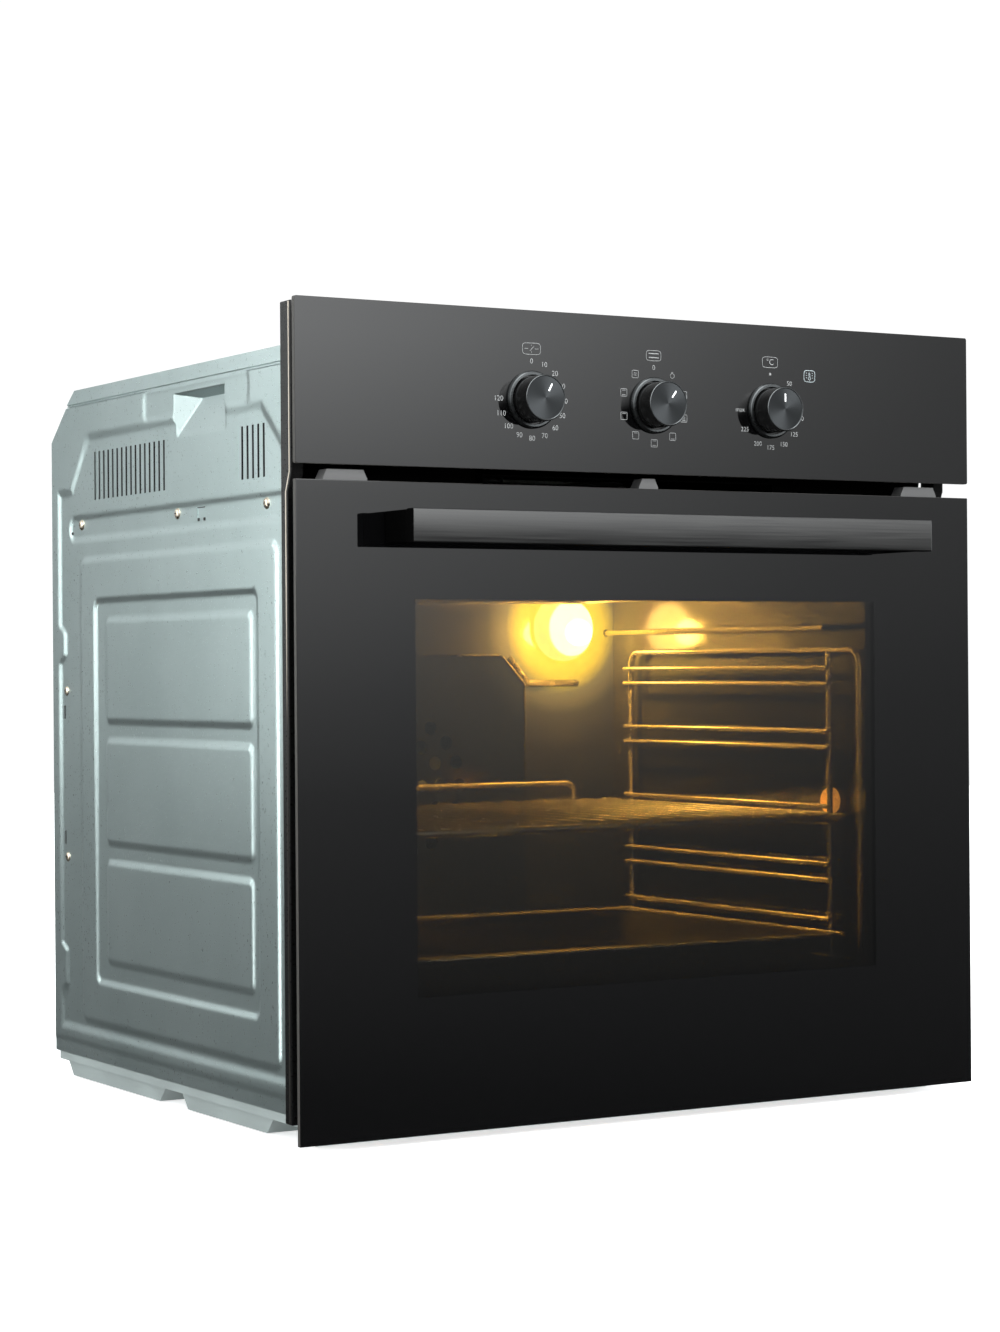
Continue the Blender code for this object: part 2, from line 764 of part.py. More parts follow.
def make_shelf():
    corners = [
        (-SHELF_HALF, SHELF_FRONT, SHELF_Z),
        (SHELF_HALF, SHELF_FRONT, SHELF_Z),
        (SHELF_HALF, SHELF_BACK, SHELF_Z),
        (-SHELF_HALF, SHELF_BACK, SHELF_Z),
    ]
    shelf = tube(rounded_path(corners, 0.010, 4, closed=True), SHELF_BAR, 10, closed=True)
    upstand_depth = SHELF_BACK - 0.001
    upstand = [
        (-UPSTAND_HALF, upstand_depth, SHELF_Z),
        (-UPSTAND_HALF, upstand_depth, SHELF_Z + UPSTAND_RISE),
        (UPSTAND_HALF, upstand_depth, SHELF_Z + UPSTAND_RISE),
        (UPSTAND_HALF, upstand_depth, SHELF_Z),
    ]
    bars = [tube(rounded_path(upstand, 0.008, 4), 0.0025, 8)]
    for depth in (0.170, 0.280):
        centre = (depth, SHELF_Z + 0.0008)
        bars.append(rod("X", centre, 0.002, -SHELF_HALF, SHELF_HALF, 8))
    add(shelf, bars)
    wires = []
    for i in range(SHELF_WIRES):
        x = (i - (SHELF_WIRES - 1) / 2.0) * SHELF_PITCH
        wires.append(rod("Y", (x, SHELF_WIRE_Z), SHELF_WIRE, SHELF_FRONT, SHELF_BACK, 6))
    add(shelf, wires)
    keep(shelf, "wire_shelf", "chrome_wire", True)


def make_tray():
    rim = rounded_outline(
        (-TRAY_RIM_HALF, TRAY_RIM_HALF), (TRAY_RIM_FRONT, TRAY_RIM_BACK), 0.012
    )
    tray = prism(rim, "Z", TRAY_RIM_LOW, TRAY_RIM_LOW + SHEET)
    well_x = (-TRAY_HALF - SHEET, TRAY_HALF + SHEET)
    well_d = (TRAY_FRONT - SHEET, TRAY_BACK + SHEET)
    well = rounded_outline(well_x, well_d, 0.020 + SHEET)
    add(tray, [prism(well, "Z", TRAY_FLOOR - SHEET, TRAY_RIM_LOW + SHEET / 2)])
    room = rounded_outline((-TRAY_HALF, TRAY_HALF), (TRAY_FRONT, TRAY_BACK), 0.020)
    cut(tray, [prism(room, "Z", TRAY_FLOOR, TRAY_RIM_LOW + 0.010)])
    keep(tray, "baking_tray", "black_enamel")


# ---------------------------------------------------------------- heating and air
def make_grill_element():
    outer = 0.170
    inner = 0.060
    front = 0.100
    turn_back = 0.340
    rear = 0.385
    half = [
        (GRILL_LEAD, LEAD_END, GRILL_Z),
        (GRILL_LEAD, rear, GRILL_Z),
        (outer, rear, GRILL_Z),
        (outer, front, GRILL_Z),
        (inner, front, GRILL_Z),
        (inner, turn_back, GRILL_Z),
    ]
    points = [(-x, depth, z) for x, depth, z in half] + half[::-1]
    path = rounded_path(points, 0.018, 4)
    keep(tube(path, TUBE, 8), "grill_element", "dark_steel", True)


def make_bottom_element():
    half = [
        (0.030, LEAD_END, BOTTOM_Z),
        (0.030, 0.385, BOTTOM_Z),
        (0.160, 0.385, BOTTOM_Z),
        (0.160, 0.080, BOTTOM_Z),
    ]
    points = [(-x, depth, z) for x, depth, z in half] + half[::-1]
    keep(tube(rounded_path(points, 0.020, 4), TUBE, 8), "bottom_element", "dark_steel", True)


def make_ring_element():
    path = []
    steps = 28
    sweep = 2.0 * (math.pi - RING_OPEN_ANGLE)
    for i in range(steps + 1):
        angle = RING_OPEN_ANGLE + sweep * i / steps
        x = RING_RADIUS * math.sin(angle)
        z = FAN_Z + RING_RADIUS * math.cos(angle)
        path.append(Vector((x, RING_DEPTH, z)))
    lead_start = Vector((path[0].x, LEAD_END, path[0].z))
    lead_end = Vector((path[-1].x, LEAD_END, path[-1].z))
    bend_start = Vector((path[0].x, RING_DEPTH + 0.004, path[0].z))
    bend_end = Vector((path[-1].x, RING_DEPTH + 0.004, path[-1].z))
    line = [lead_start, bend_start] + path + [bend_end, lead_end]
    keep(tube(line, TUBE, 8), "ring_element", "dark_steel", True)


def make_fan_cover():
    z_span = (COVER_FAN_LOW, COVER_FAN_HIGH)
    half = COVER_FAN_HALF
    outer = rounded_outline((-half, half), z_span, 0.020)
    inner = rounded_outline(
        (-half + SHEET, half - SHEET),
        (z_span[0] + SHEET, z_span[1] - SHEET),
        0.020 - SHEET,
    )
    cover = prism(outer, "Y", COVER_FAN_FRONT, COVER_FAN_REAR)
    cut(cover, [prism(inner, "Y", COVER_FAN_FRONT + SHEET, COVER_FAN_REAR + 0.002)])
    through = (COVER_FAN_FRONT - 0.002, COVER_FAN_FRONT + SHEET + 0.002)
    holes = []
    rows = ((0.020, 0.006, 6), (0.048, 0.008, 10))
    for row_radius, hole_radius, count in rows:
        for i in range(count):
            angle = 2.0 * math.pi * i / count
            centre = (row_radius * math.cos(angle), FAN_Z + row_radius * math.sin(angle))
            holes.append(rod("Y", centre, hole_radius, *through, sides=8))
    for side in SIDES:
        for i in range(5):
            z = COVER_FAN_LOW + 0.060 + 0.040 * i
            span = across(side, half - 0.005, half + 0.002)
            holes.append(box(span, (0.404, 0.420), (z - 0.006, z + 0.006)))
    cut(cover, holes)
    keep(cover, "fan_cover", "black_enamel")


def make_fan():
    centre = (0.0, FAN_Z)
    fan = turned([(FAN_RADIUS, 0.4205), (FAN_RADIUS, 0.4217)], "Y", centre, 32)
    add(fan, [rod("Y", centre, 0.009, 0.4045, 0.4250, 16)])
    add(fan, [rod("Y", centre, FAN_SHAFT, 0.4200, 0.4580, 12)])
    blades = []
    for i in range(8):
        blade = box((0.030, 0.075), (0.406, 0.4210), (-0.0006, 0.0006))
        angle = 2.0 * math.pi * i / 8
        blade.data.transform(Matrix.Rotation(angle, 4, "Y"))
        blade.data.transform(Matrix.Translation((0.0, 0.0, FAN_Z)))
        blades.append(blade)
    add(fan, blades)
    keep(fan, "convection_fan", "galvanised_steel")


def make_fan_motor():
    centre = (0.0, FAN_Z)
    motor = rod("Y", centre, MOTOR_RADIUS, MOTOR_FRONT, MOTOR_REAR, 24)
    cut(motor, [rod("Y", centre, FAN_SHAFT + 0.0006, MOTOR_FRONT - 0.002, 0.4595, 12)])
    keep(motor, "fan_motor", "dark_steel", True)


def make_lamp():
    centre = (LAMP_X, LAMP_Z)
    holder = rod("Y", centre, 0.026, 0.430, 0.462, 24)
    cut(holder, [rod("Y", centre, 0.0125, 0.428, 0.457, 16)])
    keep(holder, "lamp_holder", "dark_steel", True)
    bulb = [
        (0.0, 0.4150),
        (0.0060, 0.4162),
        (0.0098, 0.4195),
        (0.0110, 0.4240),
        (0.0110, 0.4550),
    ]
    keep(turned(bulb, "Y", centre, 16), "lamp_bulb", "clear_glass", True)
    dome = [
        (0.0, 0.4080),
        (0.0140, 0.4092),
        (0.0240, 0.4140),
        (0.0290, 0.4220),
        (0.0290, 0.4277),
        (0.0270, 0.4277),
        (0.0270, 0.4224),
        (0.0224, 0.4154),
        (0.0130, 0.4112),
        (0.0, 0.4100),
    ]
    keep(turned(dome, "Y", centre, 24), "lamp_glass", "clear_glass", True)


def make_probe():
    probe = rod("Y", (PROBE_X, PROBE_Z), PROBE_RADIUS, 0.100, LEAD_END, 8)
    keep(probe, "thermostat_probe", "dark_steel", True)


# ---------------------------------------------------------------- cooling blower
def make_blower_housing():
    centre = (BLOWER_DEPTH, BLOWER_Z)
    outer_radius = SCROLL_RADIUS + SHEET
    housing = rod("X", centre, outer_radius, -BLOWER_HALF, BLOWER_HALF, 32)
    duct = [
        (0.030, 0.4642),
        (0.250, BLOWER_Z - outer_radius + 0.0001),
        (0.250, BLOWER_Z + 0.030),
        (0.205, 0.5150),
        (0.120, 0.4830),
        (0.030, 0.4772),
    ]
    add(housing, [prism(duct, "X", -BLOWER_HALF, BLOWER_HALF)])
    room_half = BLOWER_HALF - SHEET
    room = [
        (0.020, 0.4654),
        (0.250, BLOWER_Z - SCROLL_RADIUS + 0.0001),
        (0.250, BLOWER_Z + 0.028),
        (0.2058, 0.5136),
        (0.1204, 0.4818),
        (0.020, 0.4753),
    ]
    cut(housing, [rod("X", centre, SCROLL_RADIUS, -room_half, room_half, 32)])
    cut(housing, [prism(room, "X", -room_half, room_half)])
    holes = [box((-0.110, 0.110), (0.256, 0.300), (0.506, 0.550))]
    for side in SIDES:
        span = across(side, room_half - 0.002, BLOWER_HALF + 0.002)
        holes.append(rod("X", centre, ROTOR_SHAFT + 0.0006, *span, sides=12))
    cut(housing, holes)
    keep(housing, "blower_housing", "galvanised_steel", True)


def make_blower_rotor():
    centre = (BLOWER_DEPTH, BLOWER_Z)
    rotor = rod("X", centre, ROTOR_SHAFT, -0.134, 0.160, 12)
    discs = []
    for x in (-ROTOR_HALF, -0.001, ROTOR_HALF - 0.002):
        discs.append(rod("X", centre, ROTOR_RADIUS, x, x + 0.002, 24))
    add(rotor, discs)
    blades = []
    for i in range(ROTOR_BLADES):
        blade = box((-ROTOR_HALF + 0.001, ROTOR_HALF - 0.001), (0.0235, 0.0290), (-0.0005, 0.0005))
        blade.data.transform(Matrix.Rotation(2.0 * math.pi * i / ROTOR_BLADES, 4, "X"))
        blade.data.transform(Matrix.Translation((0.0, BLOWER_DEPTH, BLOWER_Z)))
        blades.append(blade)
    add(rotor, blades)
    keep(rotor, "blower_rotor", "dark_steel")


def make_blower_motor():
    centre = (BLOWER_DEPTH, BLOWER_Z)
    motor = rod("X", centre, 0.022, BLOWER_HALF + 0.005, 0.175, 20)
    cut(motor, [rod("X", centre, ROTOR_SHAFT + 0.0006, BLOWER_HALF, 0.162, 12)])
    keep(motor, "blower_motor", "dark_steel", True)


def make_terminal_block():
    block = box((0.170, 0.230), (0.470, REAR_BACK - SHEET - GAP), (0.465, 0.495))
    holes = []
    for i in range(3):
        x = 0.182 + 0.018 * i
        for z in (0.473, 0.487):
            holes.append(rod("Y", (x, z), 0.0025, 0.468, 0.480, 8))
    cut(block, holes)
    keep(block, "terminal_block", "grey_plastic")


# ---------------------------------------------------------------- control panel
def glass_pane(z_span):
    outline = rounded_outline((-WIDTH / 2, WIDTH / 2), z_span, GLASS_CORNER, 3)
    return prism(outline, "Y", 0.0, GLASS)


def make_fascia():
    glass = glass_pane((FASCIA_LOW, HEIGHT))
    holes = []
    for dial in DIAL_NAMES:
        centre = (DIAL_X[dial], KNOB_Z)
        holes.append(rod("Y", centre, SHAFT_HOLE, -0.001, GLASS + 0.001, 16))
    cut(glass, holes)
    keep(glass, "control_fascia", "black_glass")


def make_bracket():
    bracket = box(
        (-BRACKET_HALF, BRACKET_HALF),
        (BRACKET_FRONT, BRACKET_REAR),
        (BRACKET_LOW, BRACKET_HIGH),
    )
    room = box(
        (-BRACKET_HALF + SHEET, BRACKET_HALF - SHEET),
        (BRACKET_FRONT + SHEET, BRACKET_REAR + 0.005),
        (BRACKET_LOW + SHEET, BRACKET_HIGH - SHEET),
    )
    cut(bracket, [room])
    holes = []
    for dial in DIAL_NAMES:
        centre = (DIAL_X[dial], KNOB_Z)
        through = (BRACKET_FRONT - 0.001, BRACKET_FRONT + SHEET + 0.001)
        holes.append(rod("Y", centre, SHAFT_HOLE, *through, sides=16))
    cut(bracket, holes)
    keep(bracket, "control_bracket", "galvanised_steel")


def make_switch_bodies():
    z_span = (KNOB_Z - 0.020, KNOB_Z + 0.020)
    timer = rod("Y", (DIAL_X["timer"], KNOB_Z), 0.022, SWITCH_FRONT, 0.048, 24)
    selector = box((-0.020, 0.020), (SWITCH_FRONT, 0.060), z_span)
    middle = DIAL_X["thermostat"]
    thermostat = box((middle - 0.019, middle + 0.019), (SWITCH_FRONT, 0.045), z_span)
    for dial, body in (("timer", timer), ("selector", selector), ("thermostat", thermostat)):
        centre = (DIAL_X[dial], KNOB_Z)
        cut(body, [rod("Y", centre, SHAFT_RADIUS + 0.0004, 0.004, 0.032, 12)])
        keep(body, dial + "_body", "grey_plastic")


def make_dial(dial):
    centre = (DIAL_X[dial], KNOB_Z)
    shaft = rod("Y", centre, SHAFT_RADIUS, SHAFT_FRONT, SHAFT_REAR, 12)
    keep(shaft, dial + "_shaft", "galvanised_steel", True)
    profile = [
        (KNOB_RADIUS - 0.0010, KNOB_FRONT),
        (KNOB_RADIUS, KNOB_FRONT + 0.0010),
        (KNOB_RADIUS, KNOB_REAR),
    ]
    knob = turned(profile, "Y", centre, 40)
    pointer = box((-0.0006, 0.0006), (KNOB_FRONT - 0.001, KNOB_FRONT + 0.0004), (0.0055, 0.0115))
    angle = math.radians(POINTER_ANGLE[dial])
    pointer.data.transform(Matrix.Rotation(angle, 4, "Y"))
    pointer.data.transform(Matrix.Translation((centre[0], 0.0, KNOB_Z)))
    bore = rod("Y", centre, KNOB_BORE, SHAFT_FRONT - 0.0005, KNOB_REAR + 0.001, 12)
    cut(knob, [pointer, bore])
    keep(knob, dial + "_knob", "black_plastic", True)
    ring = [
        (BEZEL_INNER, -GAP),
        (BEZEL_INNER, BEZEL_FRONT),
        (BEZEL_OUTER - 0.0012, BEZEL_FRONT),
        (BEZEL_OUTER, BEZEL_FRONT + 0.0016),
        (BEZEL_OUTER, -GAP),
    ]
    bezel = turned(ring, "Y", centre, 40, ring=True)
    keep(bezel, dial + "_bezel", "brushed_dark_metal", True)


# ---------------------------------------------------------------- door
def make_door_glass():
    outer = glass_pane((DOOR_LOW, DOOR_HIGH))
    holes = []
    for side in SIDES:
        centre = (side * STUD_X, STUD_Z)
        holes.append(rod("Y", centre, STUD_HOLE, -0.001, GLASS + 0.001, 12))
    cut(outer, holes)
    keep(outer, "door_outer_glass", "black_glass")
    half = INNER_GLASS_HALF
    outline = rounded_outline((-half, half), (INNER_GLASS_LOW, INNER_GLASS_HIGH), 0.004, 3)
    inner = prism(outline, "Y", INNER_GLASS_FRONT, INNER_GLASS_REAR)
    keep(inner, "door_inner_glass", "clear_glass")


def make_door_rail(side):
    rail = box(across(side, RAIL_INNER, RAIL_OUTER), (RAIL_FRONT, RAIL_REAR), (RAIL_LOW, RAIL_HIGH))
    room_x = across(side, RAIL_INNER + RAIL_WALL, RAIL_OUTER - RAIL_WALL)
    room_depth = (RAIL_FRONT + RAIL_WALL, RAIL_REAR + 0.002)
    room = box(room_x, room_depth, (RAIL_LOW - 0.002, RAIL_HIGH - RAIL_WALL))
    cut(rail, [room])
    seat_x = (room_x[0] - 0.0005, room_x[1] + 0.0005)
    seat_depth = (RAIL_FRONT + RAIL_WALL / 2, RAIL_REAR - 0.0004)
    add(rail, [box(seat_x, seat_depth, (SEAT_LOW, SEAT_HIGH))])
    through = across(side, RAIL_INNER - 0.002, RAIL_OUTER + 0.002)
    pin_hole = rod("X", (HINGE_DEPTH, HINGE_Z), PIN_HOLE, *through, sides=12)
    rod_centre = (side * HINGE_X, ROD_DEPTH)
    rod_hole = rod("Z", rod_centre, ROD_HOLE, SEAT_LOW - 0.001, SEAT_HIGH + 0.001, 12)
    cut(rail, [pin_hole, rod_hole])
    keep(rail, "door_side_rail_" + SIDE_NAMES[side], "dark_steel")


def make_door_top_trim():
    half = TOP_TRIM_HALF
    profile = [
        (RAIL_FRONT, TOP_TRIM_LOW),
        (TOP_TRIM_LIP, TOP_TRIM_LOW),
        (TOP_TRIM_LIP, TOP_TRIM_LOW + SHEET),
        (RAIL_REAR, TOP_TRIM_LOW + SHEET),
        (RAIL_REAR, TOP_TRIM_HIGH),
        (RAIL_FRONT, TOP_TRIM_HIGH),
    ]
    trim = prism(profile, "X", -half, half)
    tabs = []
    for low, high in ((-0.272, -0.237), (-0.0085, 0.0085), (0.237, 0.272)):
        tab = [
            (low, TOP_TRIM_HIGH - 0.001),
            (high, TOP_TRIM_HIGH - 0.001),
            (high, TOP_TRIM_HIGH + 0.002),
            (high - 0.003, TAB_TOP),
            (low + 0.003, TAB_TOP),
            (low, TOP_TRIM_HIGH + 0.002),
        ]
        tabs.append(prism(tab, "Y", 0.008, 0.020))
    add(trim, tabs)
    keep(trim, "door_top_trim", "black_plastic")


def make_handle():
    outline = rounded_outline((HANDLE_FRONT, HANDLE_REAR), (HANDLE_LOW, HANDLE_HIGH), 0.0012, 2)
    bar = prism(outline, "X", -HANDLE_HALF, HANDLE_HALF)
    keep(bar, "handle_bar", "brushed_dark_metal")
    for side in SIDES:
        span = across(side, HANDLE_HALF - MOUNT_WIDTH, HANDLE_HALF)
        mount = box(span, (HANDLE_REAR + GAP, -GAP), (HANDLE_LOW + 0.003, HANDLE_HIGH - 0.003))
        add(mount, [rod("Y", (side * STUD_X, STUD_Z), STUD_RADIUS, -0.002, 0.009, 12)])
        keep(mount, "handle_mount_" + SIDE_NAMES[side], "black_plastic")


# ---------------------------------------------------------------- hinge
def make_hinge(side):
    name = SIDE_NAMES[side]
    centre = (HINGE_DEPTH, HINGE_Z)
    pin_span = across(side, RAIL_INNER - 0.0005, RAIL_OUTER + 0.0005)
    pin = rod("X", centre, PIN_RADIUS, *pin_span, sides=12)
    keep(pin, "hinge_pin_" + name, "spring_steel", True)
    span = across(side, HINGE_X - ARM_HALF, HINGE_X + ARM_HALF)
    arm = rod("X", centre, EYE_RADIUS, *span, sides=20)
    plate = [
        (HINGE_DEPTH, HINGE_Z - 0.0058),
        (ARM_END, HINGE_Z - 0.0058),
        (ARM_END, HINGE_Z + 0.0058),
        (HINGE_DEPTH + 0.004, HINGE_Z + 0.0058),
        (HINGE_DEPTH + 0.0035, HINGE_Z + 0.0090),
        (HINGE_DEPTH, HINGE_Z + 0.0090),
    ]
    add(arm, [prism(plate, "X", *span)])
    hole_span = (span[0] - 0.001, span[1] + 0.001)
    holes = [rod("X", centre, PIN_HOLE + 0.0002, *hole_span, sides=12)]
    holes.append(rod("X", (ARM_END - 0.008, HINGE_Z), 0.0025, *hole_span, sides=12))
    cut(arm, holes)
    keep(arm, "hinge_arm_" + name, "spring_steel")
    make_hinge_rod(side)
    make_hinge_spring(side)


def make_hinge_rod(side):
    centre = (side * HINGE_X, ROD_DEPTH)
    profile = [
        (0.0040, ROD_LOW),
        (0.0040, ROD_LOW + 0.008),
        (ROD_RADIUS, ROD_LOW + 0.010),
        (ROD_RADIUS, WASHER_LOW),
        (WASHER_RADIUS, WASHER_LOW),
        (WASHER_RADIUS, WASHER_LOW + 0.002),
        (ROD_RADIUS, WASHER_LOW + 0.002),
        (ROD_RADIUS, ROD_HIGH),
    ]
    keep(turned(profile, "Z", centre, 12), "hinge_rod_" + SIDE_NAMES[side], "spring_steel", True)


def make_hinge_spring(side):
    start = SEAT_HIGH + GAP + SPRING_WIRE
    end = WASHER_LOW - GAP - SPRING_WIRE
    steps = SPRING_COILS * SPRING_STEPS
    path = []
    for i in range(steps + 1):
        angle = 2.0 * math.pi * i / SPRING_STEPS
        x = side * HINGE_X + SPRING_RADIUS * math.cos(angle)
        depth = ROD_DEPTH + SPRING_RADIUS * math.sin(angle)
        path.append(Vector((x, depth, start + (end - start) * i / steps)))
    spring = tube(path, SPRING_WIRE, 5)
    keep(spring, "hinge_spring_" + SIDE_NAMES[side], "spring_steel", True)


def make_pivot(name, pivot, parent=None, parent_pivot=(0.0, 0.0, 0.0)):
    """An empty on a joint's axis, which carries the pieces that move with it."""
    empty = bpy.data.objects.new(name, None)
    empty.empty_display_size = 0.02
    bpy.context.collection.objects.link(empty)
    empty.parent = parent
    offset = Vector(pivot) - Vector(parent_pivot)
    if parent is None:
        offset.y += FRONT_Y
    empty.location = offset
    return empty


def hang_on(empty, pivot, names):
    for name in names:
        body = bpy.data.objects[name]
        body.data.transform(Matrix.Translation(-Vector(pivot)))
        body.parent = empty


def place_in_frame():
    """Group the bodies by what moves together and set the common origin."""
    origin = (0.0, 0.0, 0.0)
    oven = make_pivot("oven", origin)
    moving = []
    door_pivot = (0.0, HINGE_DEPTH, HINGE_Z)
    door = make_pivot("door", door_pivot, oven)
    door_names = ["door_outer_glass", "door_inner_glass", "door_top_trim", "handle_bar"]
    for side in SIDES:
        name = SIDE_NAMES[side]
        door_names += ["door_side_rail_" + name, "handle_mount_" + name, "hinge_pin_" + name]
        rod_pivot = (side * HINGE_X, ROD_DEPTH, SEAT_HIGH)
        rod_empty = make_pivot("rod_slide_" + name, rod_pivot, door, door_pivot)
        rod_names = ["hinge_rod_" + name, "hinge_spring_" + name]
        hang_on(rod_empty, rod_pivot, rod_names)
        moving += rod_names
    hang_on(door, door_pivot, door_names)
    moving += door_names
    for dial in DIAL_NAMES:
        pivot = (DIAL_X[dial], 0.0, KNOB_Z)
        names = [dial + "_knob", dial + "_shaft"]
        hang_on(make_pivot(dial + "_turn", pivot, oven), pivot, names)
        moving += names
    singles = {
        "wire_shelf": ("shelf_slide", (0.0, SHELF_FRONT, SHELF_Z)),
        "baking_tray": ("tray_slide", (0.0, TRAY_RIM_FRONT, TRAY_RIM_LOW)),
        "convection_fan": ("cavity_fan_spin", (0.0, COVER_FAN_REAR, FAN_Z)),
        "blower_rotor": ("cooling_rotor_spin", (0.0, BLOWER_DEPTH, BLOWER_Z)),
    }
    for name, (pivot_name, pivot) in singles.items():
        hang_on(make_pivot(pivot_name, pivot, oven), pivot, [name])
        moving.append(name)
    fixed = [body.name for body in made_bodies if body.name not in moving]
    hang_on(oven, origin, fixed)


def build_oven():
    clear_scene()
    make_materials()
    make_base_tray()
    for side in SIDES:
        make_side_panel(side)
        make_side_trim(side)
        make_rack(side)
        make_door_rail(side)
        make_hinge(side)
    make_top_cover()
    make_rear_panel()
    make_front_frame()
    make_cavity_liner()
    make_insulation()
    make_gasket()
    make_shelf()
    make_tray()
    make_grill_element()
    make_bottom_element()
    make_ring_element()
    make_fan_cover()
    make_fan()
    make_fan_motor()
    make_lamp()
    make_probe()
    make_blower_housing()
    make_blower_rotor()
    make_blower_motor()
    make_terminal_block()
    make_fascia()
    make_bracket()
    make_switch_bodies()
    for dial in DIAL_NAMES:
        make_dial(dial)
    make_door_glass()
    make_door_top_trim()
    make_handle()
    place_in_frame()


build_oven()
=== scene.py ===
"""The looks of the built-in wall oven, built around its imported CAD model."""
import math

import bmesh
import bpy
from mathutils import Matrix, Vector


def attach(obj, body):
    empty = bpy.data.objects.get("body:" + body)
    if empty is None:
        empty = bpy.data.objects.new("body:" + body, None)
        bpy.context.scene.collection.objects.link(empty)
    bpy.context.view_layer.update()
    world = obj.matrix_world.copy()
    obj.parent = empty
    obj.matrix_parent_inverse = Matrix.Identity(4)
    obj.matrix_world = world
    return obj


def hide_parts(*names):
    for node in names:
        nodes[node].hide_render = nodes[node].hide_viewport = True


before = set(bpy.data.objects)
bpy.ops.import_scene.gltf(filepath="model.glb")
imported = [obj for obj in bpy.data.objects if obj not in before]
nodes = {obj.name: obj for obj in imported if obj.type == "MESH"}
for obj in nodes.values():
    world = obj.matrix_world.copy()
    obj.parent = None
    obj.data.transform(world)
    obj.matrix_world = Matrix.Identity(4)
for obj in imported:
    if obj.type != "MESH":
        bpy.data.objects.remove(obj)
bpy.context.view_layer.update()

# ---------------------------------------------------------------- places, in metres
# A distance named "d" or given to depth() is measured back from the door's front plane.
FRONT_Y = -0.225
WIDTH = 0.595
TOP = 0.595
GLASS = 0.004
GLASS_CORNER = 0.0015
FASCIA_LOW = 0.479
DOOR_LOW = 0.005
DOOR_HIGH = 0.468
WINDOW_HALF = 0.2035
WINDOW_LOW = 0.103
WINDOW_HIGH = 0.385
INNER_GLASS_D = (0.0222, 0.0262)
INNER_GLASS_X = (-0.262, -0.212, 0.212, 0.262)
INNER_GLASS_Z = (0.048, 0.096, 0.392, 0.4598)

HANDLE_D = (-0.042, -0.032)
HANDLE_Z = (0.4232, 0.4472)
HANDLE_HALF = 0.2275
MOUNT_X = (0.2135, 0.2275)
MOUNT_Z = (0.4237, 0.4467)

KNOB_Z = 0.530
DIAL_X = {"timer": -0.106, "selector": 0.0, "thermostat": 0.106}
POINTER_ANGLE = {"timer": 28.0, "selector": 36.0, "thermostat": 0.0}
SHAFT_HOLE = 0.0062
SCALE_RADIUS = 0.028
SCALE_TEXT = 0.0039
ICON_Z = 0.567
PRINT_Y = FRONT_Y - 0.00012
PRINT_LINE = 0.00042
PRINT_FLATTENING = 0.3
FAN_ICONS = (2, 3, 9)
LOWER_BARS = (3, 4, 5, 8)
UPPER_BARS = (5, 6, 7, 8)

RACK_X = 0.2262
RACK_D = (0.052, 0.385)
RACK_Z = (0.100, 0.349)
RACK_WIRE = 0.0025
RACK_LEVELS = (0.125, 0.1695, 0.216, 0.2765, 0.328)
RAIL_SPREAD = 0.0065
SHELF_Z = 0.2148
SHELF_HALF = 0.2195
SHELF_D = (0.058, 0.392)
SHELF_WIRES = 20
SHELF_PITCH = 0.021
UPSTAND = ((-0.168, 0), (-0.168, 0.019), (0.168, 0.019), (0.168, 0))
TRAY_RIM_HALF = 0.2213
TRAY_RIM_D = (0.0612, 0.3908)
TRAY_RIM_Z = 0.1215
BACK_WALL_D = 0.4275
COVER_D = (0.3980, 0.4274)
COVER_SHEET = 0.0012
COVER_HALF = ((0.113, 0.095), (0.123, 0.105), (0.123, 0.322), (0.100, 0.347))
COVER_HOLE_ROWS = ((0.0, 0.006, 1), (0.020, 0.005, 6), (0.038, 0.006, 12), (0.057, 0.006, 18))
FAN_Z = 0.235
LAMP = Vector((0.180, FRONT_Y + 0.4277, 0.371))

# ---------------------------------------------------------------- side panels
PANEL_X = 0.280
SHEET = 0.0006
BASE_RECESS = 0.0021
BAND_RECESS = 0.0035
RIM_RECESS = 0.0006
STRIP_LOW = 0.5555
SLOPE = 0.0046
VENT_WIDTH = 0.0032
VENT_LOW = 0.475
VENT_HIGH = 0.514
VENTS = [0.264 + 0.00912 * i for i in range(16)] + [0.088 + 0.0090 * i for i in range(5)]
BODY_FRONT = 0.0382
BODY_REAR = 0.492
BODY_BOTTOM = 0.019
BODY_TOP = 0.567
BEVEL_START = (0.443, BODY_TOP)
BEVEL_END = (BODY_REAR, 0.527)
# A field is (d low, d high, z low, z high).
OUTER_FIELD = (0.068, 0.433, 0.050, 0.427)
MIDDLE_FIELD = (0.101, 0.402, 0.084, 0.393)
INNER_FIELDS = ((0.111, 0.381, 0.295, 0.377), (0.111, 0.381, 0.197, 0.280), (0.111, 0.381, 0.101, 0.182))
SCREW_BAND = (0.040, 0.456, 0.444, 0.462)
SCREW_DEPTHS = (0.088, 0.2436, 0.434)
SCREW_Z = 0.456
GRIP_D = (0.152, 0.162, 0.208, 0.250)
GRIP_Z = (0.506, 0.5485)
GRIP_RISE = 0.037
GRIP_FALL = 0.0065
GRIP_DEPTH = 0.0098
GRIP_TOP_LINES = [0.542 + 0.0005 * i for i in range(14)]
GRIP_FRAME = (0.112, 0.300, 0.531, 0.553)
FOOT_FIELD = (0.000, 0.492, -0.010, 0.031)
GROOVE_WIDTH = 0.0015
GROOVE_LINES = (0.5532, 0.5541, 0.5554, 0.5559)
FOLD_DEPTH = 0.012
FINE_STEP = 0.0017
COARSE_STEP = 0.006
DENSE_D = ((0.060, 0.132), (0.146, 0.256), (0.372, 0.412), (0.424, 0.490))
